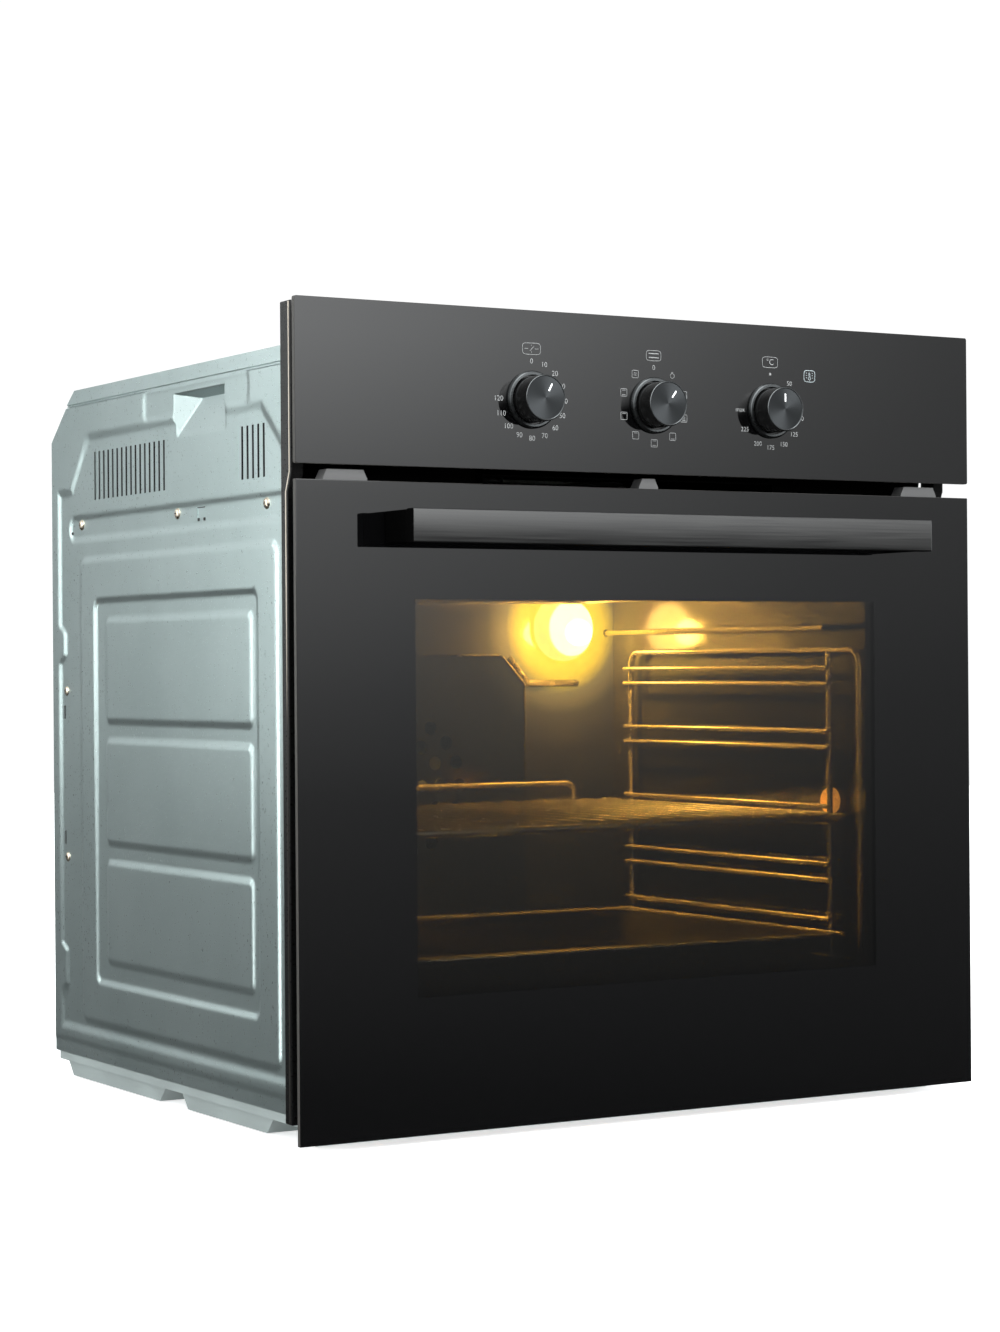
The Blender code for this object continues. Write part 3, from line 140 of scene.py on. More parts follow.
DENSE_Z = (
    (0.019, 0.060), (0.068, 0.114), (0.174, 0.206), (0.270, 0.304), (0.338, 0.436), (0.436, 0.567),
)
TRIM_X = (0.290, 0.2803)
TRIM_OUTLINE = (
    (0.038, 0.016), (0.027, 0.016), (0.027, 0.460), (0.021, 0.474),
    (0.021, 0.5936), (0.0222, 0.5948), (0.038, 0.5948),
)
STRIP_LINE = ((0.0295, 0.017), (0.0295, 0.4605), (0.0235, 0.4745), (0.0235, 0.5940))
STRIP_WIDTH = 0.0011

# ---------------------------------------------------------------- light levels and camera
LAMP_POWER = 230.0
LAMP_COLOUR = (1.0, 0.54, 0.09)
PAINTED_GLOW_REACH = 0.5
# Painted lamp glow on the liner: (share of the reach, level) stops.
PAINTED_GLOW_FADE = (
    (0.06, 1.6), (0.09, 1.1), (0.115, 0.24), (0.155, 0.05),
    (0.22, 0.014), (0.40, 0.004), (0.75, 0.001), (1.0, 0.0),
)
STUDIO_POWER = 4.0
REAR_LIGHT = 0.45
BASE_LIGHT = ((0.10, 0.020), (0.25, 0.055), (0.38, 0.100), (0.52, 0.175), (0.63, 0.21), (1.0, 0.26))
FRONT_LIGHT = (
    (0.12, 0.0), (0.31, 0.05), (0.38, 0.14), (0.45, 0.26), (0.52, 0.37), (0.63, 0.88), (0.9, 1.35),
)
LENS = 79.65
CAMERA_PLACE = (-1.2103, -2.0524, 0.3352)
CAMERA_TURNS = (("Z", -30.49), ("X", 0.057), ("Y", 0.419), ("X", 90.0))


def depth(distance):
    """World Y of a distance behind the door's front plane."""
    return FRONT_Y + distance


# ---------------------------------------------------------------- mesh helpers
def add_to_scene(name, data):
    made = bpy.data.objects.new(name, data)
    bpy.context.scene.collection.objects.link(made)
    return made


def new_object(name, work, body):
    """Turn a bmesh into an object that rides on a CAD body."""
    mesh = bpy.data.meshes.new(name)
    work.to_mesh(mesh)
    work.free()
    piece = add_to_scene(name, mesh)
    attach(piece, body)
    return piece


def paint(piece, *materials):
    for material in materials:
        piece.data.materials.append(material)
    return piece


def smooth(piece, angle=35):
    piece.data.shade_smooth()
    piece.data.set_sharp_from_angle(angle=math.radians(angle))


def bevel(piece, width, segments=2):
    modifier = piece.modifiers.new("bevel", "BEVEL")
    modifier.width = width
    modifier.segments = segments
    modifier.limit_method = "ANGLE"
    modifier.angle_limit = math.radians(30)


def add_box(work, x_span, y_span, z_span, material=0):
    corners = [(x, y, z) for x in x_span for y in y_span for z in z_span]
    verts = [work.verts.new(corner) for corner in corners]
    sides = ((0, 1, 3, 2), (4, 6, 7, 5), (0, 4, 5, 1), (2, 3, 7, 6), (0, 2, 6, 4), (1, 5, 7, 3))
    faces = [work.faces.new([verts[i] for i in side]) for side in sides]
    for face in faces:
        face.material_index = material
    bmesh.ops.recalc_face_normals(work, faces=faces)


def join_rings(work, rings, closed=False, material=0):
    """Skin a row of rings, each a loop of corners or a single tip, and cap its ends."""
    pairs = list(zip(rings, rings[1:]))
    if closed:
        pairs.append((rings[-1], rings[0]))
    faces = []
    for first, second in pairs:
        count = max(len(first), len(second))
        for i in range(count):
            j = (i + 1) % count
            corners = [first[i], first[j]] if len(first) > 1 else first[:]
            corners += [second[j], second[i]] if len(second) > 1 else second[:]
            faces.append(work.faces.new(corners))
    if not closed:
        faces += [work.faces.new(ring) for ring in (rings[0], rings[-1]) if len(ring) > 1]
    for face in faces:
        face.material_index = material
    bmesh.ops.recalc_face_normals(work, faces=faces)
    return faces


def add_turned(work, profile, axis, centre, sides=64, closed=False):
    """Spin (radius, along) points about X, Y or Z through centre."""
    rings = []
    for radius, along in profile:
        ring = []
        for i in range(1 if radius == 0.0 else sides):
            angle = 2.0 * math.pi * i / sides
            a = centre[0] + radius * math.cos(angle)
            b = centre[1] + radius * math.sin(angle)
            point = {"X": (along, a, b), "Y": (a, along, b), "Z": (a, b, along)}[axis]
            ring.append(work.verts.new(point))
        rings.append(ring)
    join_rings(work, rings, closed)


def add_rod(work, axis, centre, radius, low, high, sides=16):
    add_turned(work, [(radius, low), (radius, high)], axis, centre, sides)


def add_prism(work, x_span, outline):
    """Extrude a (d, z) outline from one X to another."""
    join_rings(work, [[work.verts.new((x, depth(d), z)) for d, z in outline] for x in x_span])


def rounded_path(points, fillet, steps=6, closed=False):
    """A path through the points, with its corners turned into arcs."""
    corners = [Vector(point) for point in points]
    count = len(corners)
    path = []
    for i, corner in enumerate(corners):
        if not closed and i in (0, count - 1):
            path.append(corner)
            continue
        before = (corners[i - 1] - corner).normalized()
        after = (corners[(i + 1) % count] - corner).normalized()
        half = before.angle(after) / 2.0
        middle = corner + (before + after).normalized() * (fillet / math.sin(half))
        start = corner + before * (fillet / math.tan(half)) - middle
        end = corner + after * (fillet / math.tan(half)) - middle
        turn = start.rotation_difference(end)
        for step_number in range(steps + 1):
            part = Matrix.Rotation(turn.angle * step_number / steps, 3, turn.axis)
            path.append(middle + part @ start)
    return path


def level_loop(half, d_span, z, fillet):
    """A horizontal rounded rectangle at height z."""
    low, high = (depth(d) for d in d_span)
    corners = ((-half, low, z), (half, low, z), (half, high, z), (-half, high, z))
    return rounded_path(corners, fillet, 8, True)


def add_tube(work, points, radius, sides=12, closed=False, material=0):
    path = [Vector(point) for point in points]
    count = len(path)
    directions = []
    for i in range(count):
        before = path[i - 1] if closed or i > 0 else path[i]
        after = path[(i + 1) % count] if closed or i < count - 1 else path[i]
        directions.append((after - before).normalized())
    normal = directions[0].orthogonal().normalized()
    rings = []
    for i, direction in enumerate(directions):
        if i > 0:
            normal = directions[i - 1].rotation_difference(direction) @ normal
        other = direction.cross(normal)
        ring = []
        for k in range(sides):
            angle = 2.0 * math.pi * (k + 0.5) / sides
            offset = normal * math.cos(angle) + other * math.sin(angle)
            ring.append(work.verts.new(path[i] + offset * radius))
        rings.append(ring)
    for face in join_rings(work, rings, closed, material):
        face.smooth = True


# ---------------------------------------------------------------- node helpers
def node(owner, kind, **settings):
    """A new shader node of a material or of the world."""
    made = owner.node_tree.nodes.new(kind)
    for key, value in settings.items():
        setattr(made, key, value)
    return made


def link(owner, source, target):
    owner.node_tree.links.new(source, target)


def map_range(owner, value, low, high, to_low=0.0, to_high=1.0, kind="LINEAR"):
    """Stretch a value from one span to another."""
    made = node(owner, "ShaderNodeMapRange", interpolation_type=kind)
    spans = {"From Min": low, "From Max": high, "To Min": to_low, "To Max": to_high}
    for name, number in spans.items():
        made.inputs[name].default_value = number
    link(owner, value, made.inputs["Value"])
    return made.outputs["Result"]


def colour_ramp(owner, factor, stops):
    """The colour at a factor, from (position, colour) stops."""
    ramp = node(owner, "ShaderNodeValToRGB")
    elements = ramp.color_ramp.elements
    while len(elements) < len(stops):
        elements.new(0.5)
    for element, (position, colour) in zip(elements, stops):
        element.position = position
        element.color = (*colour, 1.0)
    link(owner, factor, ramp.inputs["Fac"])
    return ramp.outputs["Color"]


def grey_ramp(owner, factor, levels):
    return colour_ramp(owner, factor, [(position, (level,) * 3) for position, level in levels])


def math_node(owner, operation, first, second):
    made = node(owner, "ShaderNodeMath", operation=operation)
    for socket, value in zip(made.inputs, (first, second)):
        if isinstance(value, (int, float)):
            socket.default_value = value
        else:
            link(owner, value, socket)
    return made.outputs["Value"]


def split(owner, vector):
    """The X, Y and Z outputs of a vector."""
    parts = node(owner, "ShaderNodeSeparateXYZ")
    link(owner, vector, parts.inputs["Vector"])
    return parts.outputs


def object_place(material):
    return node(material, "ShaderNodeTexCoord").outputs["Object"]


def distance_to(material, point):
    """How far the shaded place lies from a point, in the piece's own space."""
    reach = node(material, "ShaderNodeVectorMath", operation="DISTANCE")
    reach.inputs[1].default_value = point
    link(material, object_place(material), reach.inputs[0])
    return reach.outputs["Value"]


def object_noise(material, scale, detail=3.0, stretch=(1.0, 1.0, 1.0)):
    """Noise in the object's own space, stretched for grain or brushing."""
    mapping = node(material, "ShaderNodeMapping")
    mapping.inputs["Scale"].default_value = stretch
    link(material, object_place(material), mapping.inputs["Vector"])
    noise = node(material, "ShaderNodeTexNoise")
    noise.inputs["Scale"].default_value = scale
    noise.inputs["Detail"].default_value = detail
    link(material, mapping.outputs["Vector"], noise.inputs["Vector"])
    return noise.outputs["Fac"]


# ---------------------------------------------------------------- material helpers
def shader_of(material):
    return material.node_tree.nodes["Principled BSDF"]


def new_material(name, colour, roughness, metallic=0.0, **sockets):
    material = bpy.data.materials.new(name)
    material.use_nodes = True
    shader = shader_of(material)
    shader.inputs["Base Color"].default_value = (*colour, 1.0)
    shader.inputs["Roughness"].default_value = roughness
    shader.inputs["Metallic"].default_value = metallic
    for socket, value in sockets.items():
        shader.inputs[socket.replace("_", " ")].default_value = value
    material.diffuse_color = (*colour, 1.0)
    return material


def vary(material, factor, socket, low, high):
    """Let a noise factor move one of the shader's inputs between two values."""
    spread = map_range(material, factor, 0.3, 0.7, low, high)
    link(material, spread, shader_of(material).inputs[socket])


def vary_colour(material, factor, dark, light):
    mixed = colour_ramp(material, factor, ((0.3, dark), (0.7, light)))
    link(material, mixed, shader_of(material).inputs["Base Color"])


def bump(material, factor, strength, distance):
    made = node(material, "ShaderNodeBump")
    made.inputs["Strength"].default_value = strength
    made.inputs["Distance"].default_value = distance
    link(material, factor, made.inputs["Height"])
    link(material, made.outputs["Normal"], shader_of(material).inputs["Normal"])


def grained(made, scale, low, high):
    """Let the roughness of a material wander between two values."""
    vary(made, object_noise(made, scale), "Roughness", low, high)
    return made


# ---------------------------------------------------------------- materials
def galvanised_steel():
    steel = new_material("galvanised_steel", (0.54, 0.64, 0.635), 0.30, 0.95)
    vary_colour(steel, object_noise(steel, 9.0, 4.0), (0.50, 0.60, 0.595), (0.56, 0.66, 0.655))
    grain = object_noise(steel, 900.0, 2.0, (1.0, 1.0, 0.35))
    vary(steel, grain, "Roughness", 0.27, 0.36)
    bump(steel, grain, 0.05, 0.0003)
    return steel


def black_glass():
    glass = new_material("black_front_glass", (0.001, 0.001, 0.0011), 0.035)
    vary(glass, object_noise(glass, 3.0, 5.0), "Roughness", 0.02, 0.05)
    return glass


def window_glass(name, tint):
    glass = new_material(name, tint, 0.0, Transmission_Weight=1.0, IOR=1.45)
    vary(glass, object_noise(glass, 2.5, 4.0), "Roughness", 0.0, 0.01)
    return glass


def black_enamel(name="black_enamel", level=0.010, waviness=0.45):
    enamel = new_material(name, (level, level, level), 0.12)
    dark = (level * 0.6, level * 0.6, level * 0.5)
    light = (level * 1.8, level * 1.7, level * 1.5)
    vary_colour(enamel, object_noise(enamel, 650.0, 2.0), dark, light)
    bump(enamel, object_noise(enamel, 55.0, 2.0), waviness, 0.0008)
    return enamel


def enamel_with_painted_lamp_glow():
    """Liner enamel: a darker copy of the black enamel with the lamp's glow painted on as emission, painted
    light that fades with the distance from the lamp.
    """
    enamel = black_enamel("enamel_with_painted_lamp_glow", 0.0007, 0.16)
    near = map_range(enamel, distance_to(enamel, LAMP), 0.0, PAINTED_GLOW_REACH)
    stops = []
    for position, level in PAINTED_GLOW_FADE:
        warmth = min(1.0, level * 2.2)
        green = level * (0.86 - 0.20 * warmth)
        blue = level * (0.55 - 0.50 * warmth)
        stops.append((position, (level, green, blue)))
    shader = shader_of(enamel)
    link(enamel, colour_ramp(enamel, near, stops), shader.inputs["Emission Color"])
    # Painted light: the glow is 2.5 times as strong on faces that look towards the door, such as the back
    # wall, as on the side walls.
    facing = split(enamel, node(enamel, "ShaderNodeNewGeometry").outputs["True Normal"])
    weight = map_range(enamel, facing["Y"], 0.0, -1.0, 1.6, 4.0)
    link(enamel, weight, shader.inputs["Emission Strength"])
    return enamel


def heater_tube():
    tube = new_material("heater_tube", (0.10, 0.10, 0.105), 0.42, 0.7)
    vary_colour(tube, object_noise(tube, 90.0), (0.07, 0.065, 0.06), (0.15, 0.15, 0.155))
    return tube


def brushed_dark():
    metal = new_material("brushed_dark_metal", (0.07, 0.07, 0.07), 0.34, 1.0, Anisotropic=0.5)
    lines = object_noise(metal, 700.0, 2.0, (0.02, 1.0, 1.0))
    vary_colour(metal, lines, (0.060, 0.060, 0.060), (0.075, 0.075, 0.074))
    vary(metal, lines, "Roughness", 0.28, 0.42)
    bump(metal, lines, 0.08, 0.0001)
    return metal


def satin_black(name="satin_black", level=0.012, roughness=0.38, shine=0.5):
    plastic = new_material(name, (level, level, level), roughness, Specular_IOR_Level=shine)
    grain = object_noise(plastic, 500.0)
    vary(plastic, grain, "Roughness", roughness - 0.05, roughness + 0.08)
    bump(plastic, grain, 0.06, 0.0002)
    return plastic


def spun_metal():
    """Turned knob face: fine rings about the knob's axis."""
    metal = new_material("spun_knob_face", (0.043, 0.046, 0.048), 0.30, 1.0, Anisotropic=0.8)
    tangent = node(metal, "ShaderNodeTangent", direction_type="RADIAL", axis="Y")
    link(metal, tangent.outputs["Tangent"], shader_of(metal).inputs["Tangent"])
    rings = node(metal, "ShaderNodeTexWave", wave_type="RINGS", rings_direction="Y")
    rings.inputs["Scale"].default_value = 900.0
    rings.inputs["Distortion"].default_value = 1.5
    link(metal, object_place(metal), rings.inputs["Vector"])
    vary(metal, rings.outputs["Fac"], "Roughness", 0.30, 0.40)
    return metal


def painted_highlight_strip():
    """Edge strip of the trim, coloured as a painted highlight that darkens towards the bottom as painted
    shade.
    """
    highlight_colour = (0.62, 0.56, 0.47)
    strip = grained(new_material("trim_edge_painted_highlight", highlight_colour, 0.35, 0.4), 120.0, 0.28, 0.44)
    # Painted shade: the highlight fades to dark towards the bottom of the strip.
    rise = map_range(strip, split(strip, object_place(strip))["Z"], 0.22, 0.47)
    vary_colour(strip, rise, (0.035, 0.032, 0.028), highlight_colour)
    return strip


def print_paint():
    ink = new_material("printed_scale", (0.27, 0.275, 0.275), 0.6)
    vary_colour(ink, object_noise(ink, 200.0), (0.24, 0.245, 0.245), (0.31, 0.315, 0.315))
    return ink


def mineral_wool():
    wool = new_material("mineral_wool", (0.62, 0.56, 0.36), 0.95)
    vary_colour(wool, object_noise(wool, 140.0, 5.0), (0.48, 0.42, 0.25), (0.72, 0.66, 0.45))
    return wool


def glowing(name, colour, strength):
    return new_material(name, colour, 0.4, Emission_Color=(*colour, 1.0), Emission_Strength=strength)


def lit_lamp_glass():
    """Glass cap of the lamp: white-hot over the bulb, amber towards its edge."""
    hot, rim = 70.0, 6.0
    glass = glowing("lit_lamp_glass", (1.0, 0.62, 0.16), hot)
    reach = distance_to(glass, (LAMP.x + 0.003, LAMP.y - 0.016, LAMP.z))
    heat = map_range(glass, reach, 0.0200, 0.0265, hot, rim, "SMOOTHSTEP")
    link(glass, heat, shader_of(glass).inputs["Emission Strength"])
    return glass


STEEL = galvanised_steel()
CUT_EDGE = grained(new_material("cut_sheet_edge", (0.10, 0.11, 0.11), 0.6, 0.3), 200.0, 0.5, 0.7)
PALE = grained(new_material("pale_base_sheet", (0.60, 0.68, 0.67), 0.45, 0.75), 20.0, 0.38, 0.52)
BLACK_GLASS = black_glass()
EDGE = grained(
    new_material("ground_glass_edge", (0.045, 0.043, 0.040), 0.35, Specular_IOR_Level=0.25),
    400.0, 0.30, 0.45,
)
CLEAR = window_glass("tinted_window", (0.32, 0.31, 0.28))
INNER_CLEAR = window_glass("inner_window", (0.72, 0.71, 0.68))
ENAMEL = black_enamel()
PAINTED_GLOW_ENAMEL = enamel_with_painted_lamp_glow()
WIRE = grained(new_material("chrome_wire", (0.72, 0.68, 0.60), 0.12, 1.0), 300.0, 0.16, 0.28)
# Painted shade: a darker copy of the chrome wire, so the shelf's frame shows dimmer reflections.
SHELF_FRAME_PAINTED_SHADE = grained(new_material("shelf_frame_painted_shade", (0.26, 0.25, 0.22), 0.2, 0.9), 300.0, 0.16, 0.28)
TRAY_EDGE = grained(new_material("worn_tray_edge", (0.30, 0.28, 0.25), 0.2, 0.9), 80.0, 0.14, 0.30)
HEATER = heater_tube()
BRUSHED = brushed_dark()
# Painted shade: this black marks the screws' cross recesses and the slots beside the panel tabs.
RECESS_SHADE_BLACK = satin_black()
# Near-lightless black: the own colour of the handle blocks and the outlet grille, and painted shade on the
# handle's hidden sides, the sheets behind the side vents and the parts behind the fascia.
BLACK_AND_PAINTED_SHADE = satin_black("matt_black_and_painted_shade", 0.0006, 0.85, 0.04)
TRIM_BLACK = satin_black("trim_black", 0.003, 0.30, 0.30)
GLOSS_BLACK = satin_black("gloss_black", 0.006, 0.16)
GREY_PLASTIC = satin_black("grey_plastic", 0.22, 0.45)
TAB_GREY = satin_black("tab_grey", 0.10, 0.35)
RUBBER = satin_black("black_silicone", 0.02, 0.62)
SPUN = spun_metal()
PRINT = print_paint()
BRIGHT_PRINT = grained(new_material("bright_print", (0.45, 0.52, 0.54), 0.6), 200.0, 0.5, 0.7)
RIM = grained(new_material("bevelled_grey_rim", (0.085, 0.09, 0.092), 0.30, 1.0), 400.0, 0.24, 0.36)
# Painted light: the pointer mark glows a little, though it is no lamp.
POINTER = glowing("white_pointer_with_painted_glow", (0.92, 0.93, 0.94), 0.35)
MOTOR = grained(new_material("zinc_plate", (0.33, 0.34, 0.35), 0.38, 0.9), 60.0, 0.32, 0.46)
BRASS = grained(new_material("yellow_zinc_screw", (0.80, 0.70, 0.56), 0.30, 1.0), 300.0, 0.22, 0.36)
# Painted light: the nut's brass glows orange, standing in for the lamp's light falling on it.
BRASS_WITH_PAINTED_GLOW = grained(glowing("brass_with_painted_glow", (0.95, 0.45, 0.08), 1.1), 300.0, 0.32, 0.5)
WOOL = mineral_wool()
TRIM_HIGHLIGHT_PAINT = painted_highlight_strip()
LAMP_GLOW = lit_lamp_glass()


# ---------------------------------------------------------------- camera and studio
def make_camera():
    """Camera ahead of the oven and to its left, in the upper half of the window's height."""
    data = bpy.data.cameras.new("camera")
    data.sensor_width = 36.0
    data.lens = LENS
    camera = add_to_scene("camera", data)
    pose = Matrix.Translation(CAMERA_PLACE)
    for axis, angle in CAMERA_TURNS:
        pose = pose @ Matrix.Rotation(math.radians(angle), 4, axis)
    camera.matrix_world = pose
    bpy.context.scene.camera = camera


def make_world():
    """A white backdrop, with a soft studio gradient that lights the oven."""
    world = bpy.data.worlds.new("studio")
    bpy.context.scene.world = world
    world.use_nodes = True
    world.node_tree.nodes.clear()
    x, y, z = split(world, node(world, "ShaderNodeTexCoord").outputs["Generated"])
    level = map_range(world, z, -0.2, 0.3)
    turn = math_node(world, "ARCTAN2", x, math_node(world, "MULTIPLY", y, -1.0))
    right = map_range(world, turn, math.radians(22), math.radians(41), 1.0, 0.0, "SMOOTHSTEP")
    left = map_range(world, turn, math.radians(-50), math.radians(-5), kind="SMOOTHSTEP")
    patch = math_node(world, "MULTIPLY", right, left)
    patch = math_node(world, "MULTIPLY", patch, grey_ramp(world, level, FRONT_LIGHT))
    behind = map_range(world, y, 0.0, 0.6, 1.0, REAR_LIGHT, "SMOOTHSTEP")
    dimmed = math_node(world, "MULTIPLY", grey_ramp(world, level, BASE_LIGHT), behind)
    total = math_node(world, "ADD", dimmed, patch)
    lit = node(world, "ShaderNodeBackground")
    lit.inputs["Color"].default_value = (0.97, 0.99, 1.0, 1.0)
    link(world, math_node(world, "MULTIPLY", total, STUDIO_POWER), lit.inputs["Strength"])
    white = node(world, "ShaderNodeBackground")
    white.inputs["Color"].default_value = (1.0, 1.0, 1.0, 1.0)
    white.inputs["Strength"].default_value = 1.05
    mix = node(world, "ShaderNodeMixShader")
    link(world, node(world, "ShaderNodeLightPath").outputs["Is Camera Ray"], mix.inputs["Fac"])
    link(world, lit.outputs["Background"], mix.inputs[1])
    link(world, white.outputs["Background"], mix.inputs[2])
    out = node(world, "ShaderNodeOutputWorld")
    link(world, mix.outputs["Shader"], out.inputs["Surface"])


def area_light(name, place, target, size, power, colour=(1.0, 1.0, 1.0)):
    data = bpy.data.lights.new(name, "AREA")
    data.shape = "RECTANGLE"
    data.size, data.size_y = size
    data.energy = power
    data.color = colour
    lamp = add_to_scene(name, data)
    lamp.location = place
    direction = Vector(target) - Vector(place)
    lamp.rotation_euler = direction.to_track_quat("-Z", "Y").to_euler()
    lamp.visible_camera = False


def make_lights():
    """Soft boxes; those at the left bring out the relief of the side panel."""
    cool = (0.97, 1.0, 0.99)
    area_light("left_softbox", (-2.25, 0.75, 1.00), (-0.28, 0.0, 0.40), (0.7, 1.3), 11.5)
    area_light("slope_strip", (-1.60, 0.40, 0.22), (-0.28, -0.10, 0.28), (0.22, 1.0), 4.6, cool)
    area_light("grip_softbox", (-1.45, 1.70, 1.20), (-0.28, 0.0, 0.50), (0.5, 0.4), 0.5, cool)
    cooler = (0.95, 1.0, 0.99)
    area_light("near_strip", (-0.95, 0.80, 0.62), (-0.28, -0.12, 0.45), (0.12, 0.8), 1.2, cooler)
    coolest = (0.94, 1.0, 0.99)
    area_light("rear_left_softbox", (-1.6, 1.9, 0.75), (-0.28, 0.05, 0.35), (1.4, 1.2), 0.2, coolest)
    area_light("top_softbox", (0.0, 0.1, 2.2), (0.0, 0.0, 0.3), (1.8, 1.8), 3.5)
    blue = (0.90, 0.95, 1.0)
    area_light("right_softbox", (2.2, 0.2, 0.7), (0.2, 0.0, 0.3), (0.8, 1.6), 12.0, blue)
    area_light("back_softbox", (0.6, 2.6, 1.0), (0.0, 0.3, 0.3), (1.6, 1.4), 14.0)


def make_floor():
    """Pale round floor, unseen by reflections and through the door's glass."""
    work = bmesh.new()
    radius, top, bottom = 6.0, -0.0012, -0.004
    add_turned(work, [(0.0, top), (radius, top), (radius, bottom), (0.0, bottom)], "Z", (0.0, 0.0))
    mesh = bpy.data.meshes.new("floor")
    work.to_mesh(mesh)
    work.free()
    floor = add_to_scene("floor", mesh)
    white = (1.0, 1.0, 1.0, 1.0)
    pale = new_material("pale_floor", (0.9, 0.9, 0.9), 0.9, Emission_Color=white, Emission_Strength=0.62)
    mesh.materials.append(pale)
    floor.visible_glossy = False
    floor.visible_transmission = False


# ---------------------------------------------------------------- flat plates with holes
def around(x, z, radius, count):
    """Evenly spaced (x, z) points on a circle."""
    turns = [2.0 * math.pi * i / count for i in range(count)]
    return [(x + radius * math.cos(turn), z + radius * math.sin(turn)) for turn in turns]


def add_plate(work, outline, holes, front, back):
    """Solid plate facing -Y: an (x, z) outline with (x, z, radius) holes."""
    loops = [outline] + [around(x, z, radius, 48) for x, z, radius in holes]
    edges = []
    for loop in loops:
        verts = [work.verts.new((x, front, z)) for x, z in loop]
        for first, second in zip(verts, verts[1:] + verts[:1]):
            edges.append(work.edges.new((first, second)))
    filled = bmesh.ops.triangle_fill(work, use_beauty=True, use_dissolve=True, edges=edges)
    faces = [item for item in filled["geom"] if isinstance(item, bmesh.types.BMFace)]
    grown = bmesh.ops.extrude_face_region(work, geom=faces)
    moved = [item for item in grown["geom"] if isinstance(item, bmesh.types.BMVert)]
    bmesh.ops.translate(work, verts=moved, vec=(0.0, back - front, 0.0))
    bmesh.ops.recalc_face_normals(work, faces=work.faces[:])


def rounded_rectangle(x_span, z_span, radius, steps=5):
    corners = (
        (x_span[1] - radius, z_span[1] - radius, 0.0),
        (x_span[0] + radius, z_span[1] - radius, 90.0),
        (x_span[0] + radius, z_span[0] + radius, 180.0),
        (x_span[1] - radius, z_span[0] + radius, 270.0),
    )
    outline = []
    for x, z, start in corners:
        for i in range(steps + 1):
            angle = math.radians(start + 90.0 * i / steps)
            outline.append((x + radius * math.cos(angle), z + radius * math.sin(angle)))
    return outline


# ---------------------------------------------------------------- front glass
def paint_rim(piece, rim_index):
    """Give the narrow side faces of a plate their own material."""
    for face in piece.data.polygons:
        if abs(face.normal.y) < 0.5:
            face.material_index = rim_index


def make_fascia():
    work = bmesh.new()
    outline = rounded_rectangle((-WIDTH / 2, WIDTH / 2), (FASCIA_LOW, TOP), GLASS_CORNER, 3)
    holes = [(x, KNOB_Z, SHAFT_HOLE) for x in DIAL_X.values()]
    add_plate(work, outline, holes, FRONT_Y, depth(GLASS))
    fascia = paint(new_object("fascia_glass", work, "chassis"), BLACK_GLASS, EDGE)
    paint_rim(fascia, 1)
    bevel(fascia, 0.0005)
    smooth(fascia)
    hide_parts("control_fascia")


def door_glass_cells(work, x_lines, z_lines, front, back):
    """Plate of 3 x 3 cells: the middle one is the clear window."""
    grid = {}
    for side, y in ((0, front), (1, back)):
        for i, x in enumerate(x_lines):
            for k, z in enumerate(z_lines):
                grid[side, i, k] = work.verts.new((x, y, z))
    for i in range(3):
        for k in range(3):
            for side in (0, 1):
                corners = ((i, k), (i + 1, k), (i + 1, k + 1), (i, k + 1))
                face = work.faces.new([grid[side, a, b] for a, b in corners])
                face.material_index = 2 if (i, k) == (1, 1) else 0
    rim = [(i, 0) for i in range(3)] + [(3, k) for k in range(3)]
    rim += [(i, 3) for i in range(3, 0, -1)] + [(0, k) for k in range(3, 0, -1)]
    for first, second in zip(rim, rim[1:] + rim[:1]):
        corners = (grid[0, *first], grid[0, *second], grid[1, *second], grid[1, *first])
        work.faces.new(corners).material_index = 1
    bmesh.ops.recalc_face_normals(work, faces=work.faces[:])


def make_front_glass():
    work = bmesh.new()
    x_lines = (-WIDTH / 2, -WINDOW_HALF, WINDOW_HALF, WIDTH / 2)
    z_lines = (DOOR_LOW, WINDOW_LOW, WINDOW_HIGH, DOOR_HIGH)
    door_glass_cells(work, x_lines, z_lines, FRONT_Y, depth(GLASS))
    outer = new_object("door_front_glass", work, "door")
    paint(outer, BLACK_GLASS, EDGE, CLEAR)
    bevel(outer, 0.0005)
    smooth(outer)
    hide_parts("door_outer_glass")


def make_inner_glass():
    work = bmesh.new()
    front, back = (depth(d) for d in INNER_GLASS_D)
    door_glass_cells(work, INNER_GLASS_X, INNER_GLASS_Z, front, back)
    inner = new_object("door_back_glass", work, "door")
    paint(inner, BLACK_GLASS, EDGE, INNER_CLEAR)
    bevel(inner, 0.0004)
    smooth(inner)
    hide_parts("door_inner_glass")


# ---------------------------------------------------------------- handle and knobs
def make_handle_bar():
    """Bar with a brushed front; its other sides are near-lightless black, painted shade."""
    (near, far), (low, high) = HANDLE_D, HANDLE_Z
    corners = ((0, near, low), (0, far, low), (0, far, high), (0, near, high))
    outline = [(point.y, point.z) for point in rounded_path(corners, 0.0011, 4, True)]
    work = bmesh.new()
    add_prism(work, (-HANDLE_HALF, HANDLE_HALF), outline)
    bar = paint(new_object("handle_grip_bar", work, "door"), BRUSHED, BLACK_AND_PAINTED_SHADE)
    for face in bar.data.polygons:
        if face.normal.y > -0.4:
            face.material_index = 1
    bevel(bar, 0.0004)
    smooth(bar)
    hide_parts("handle_bar")


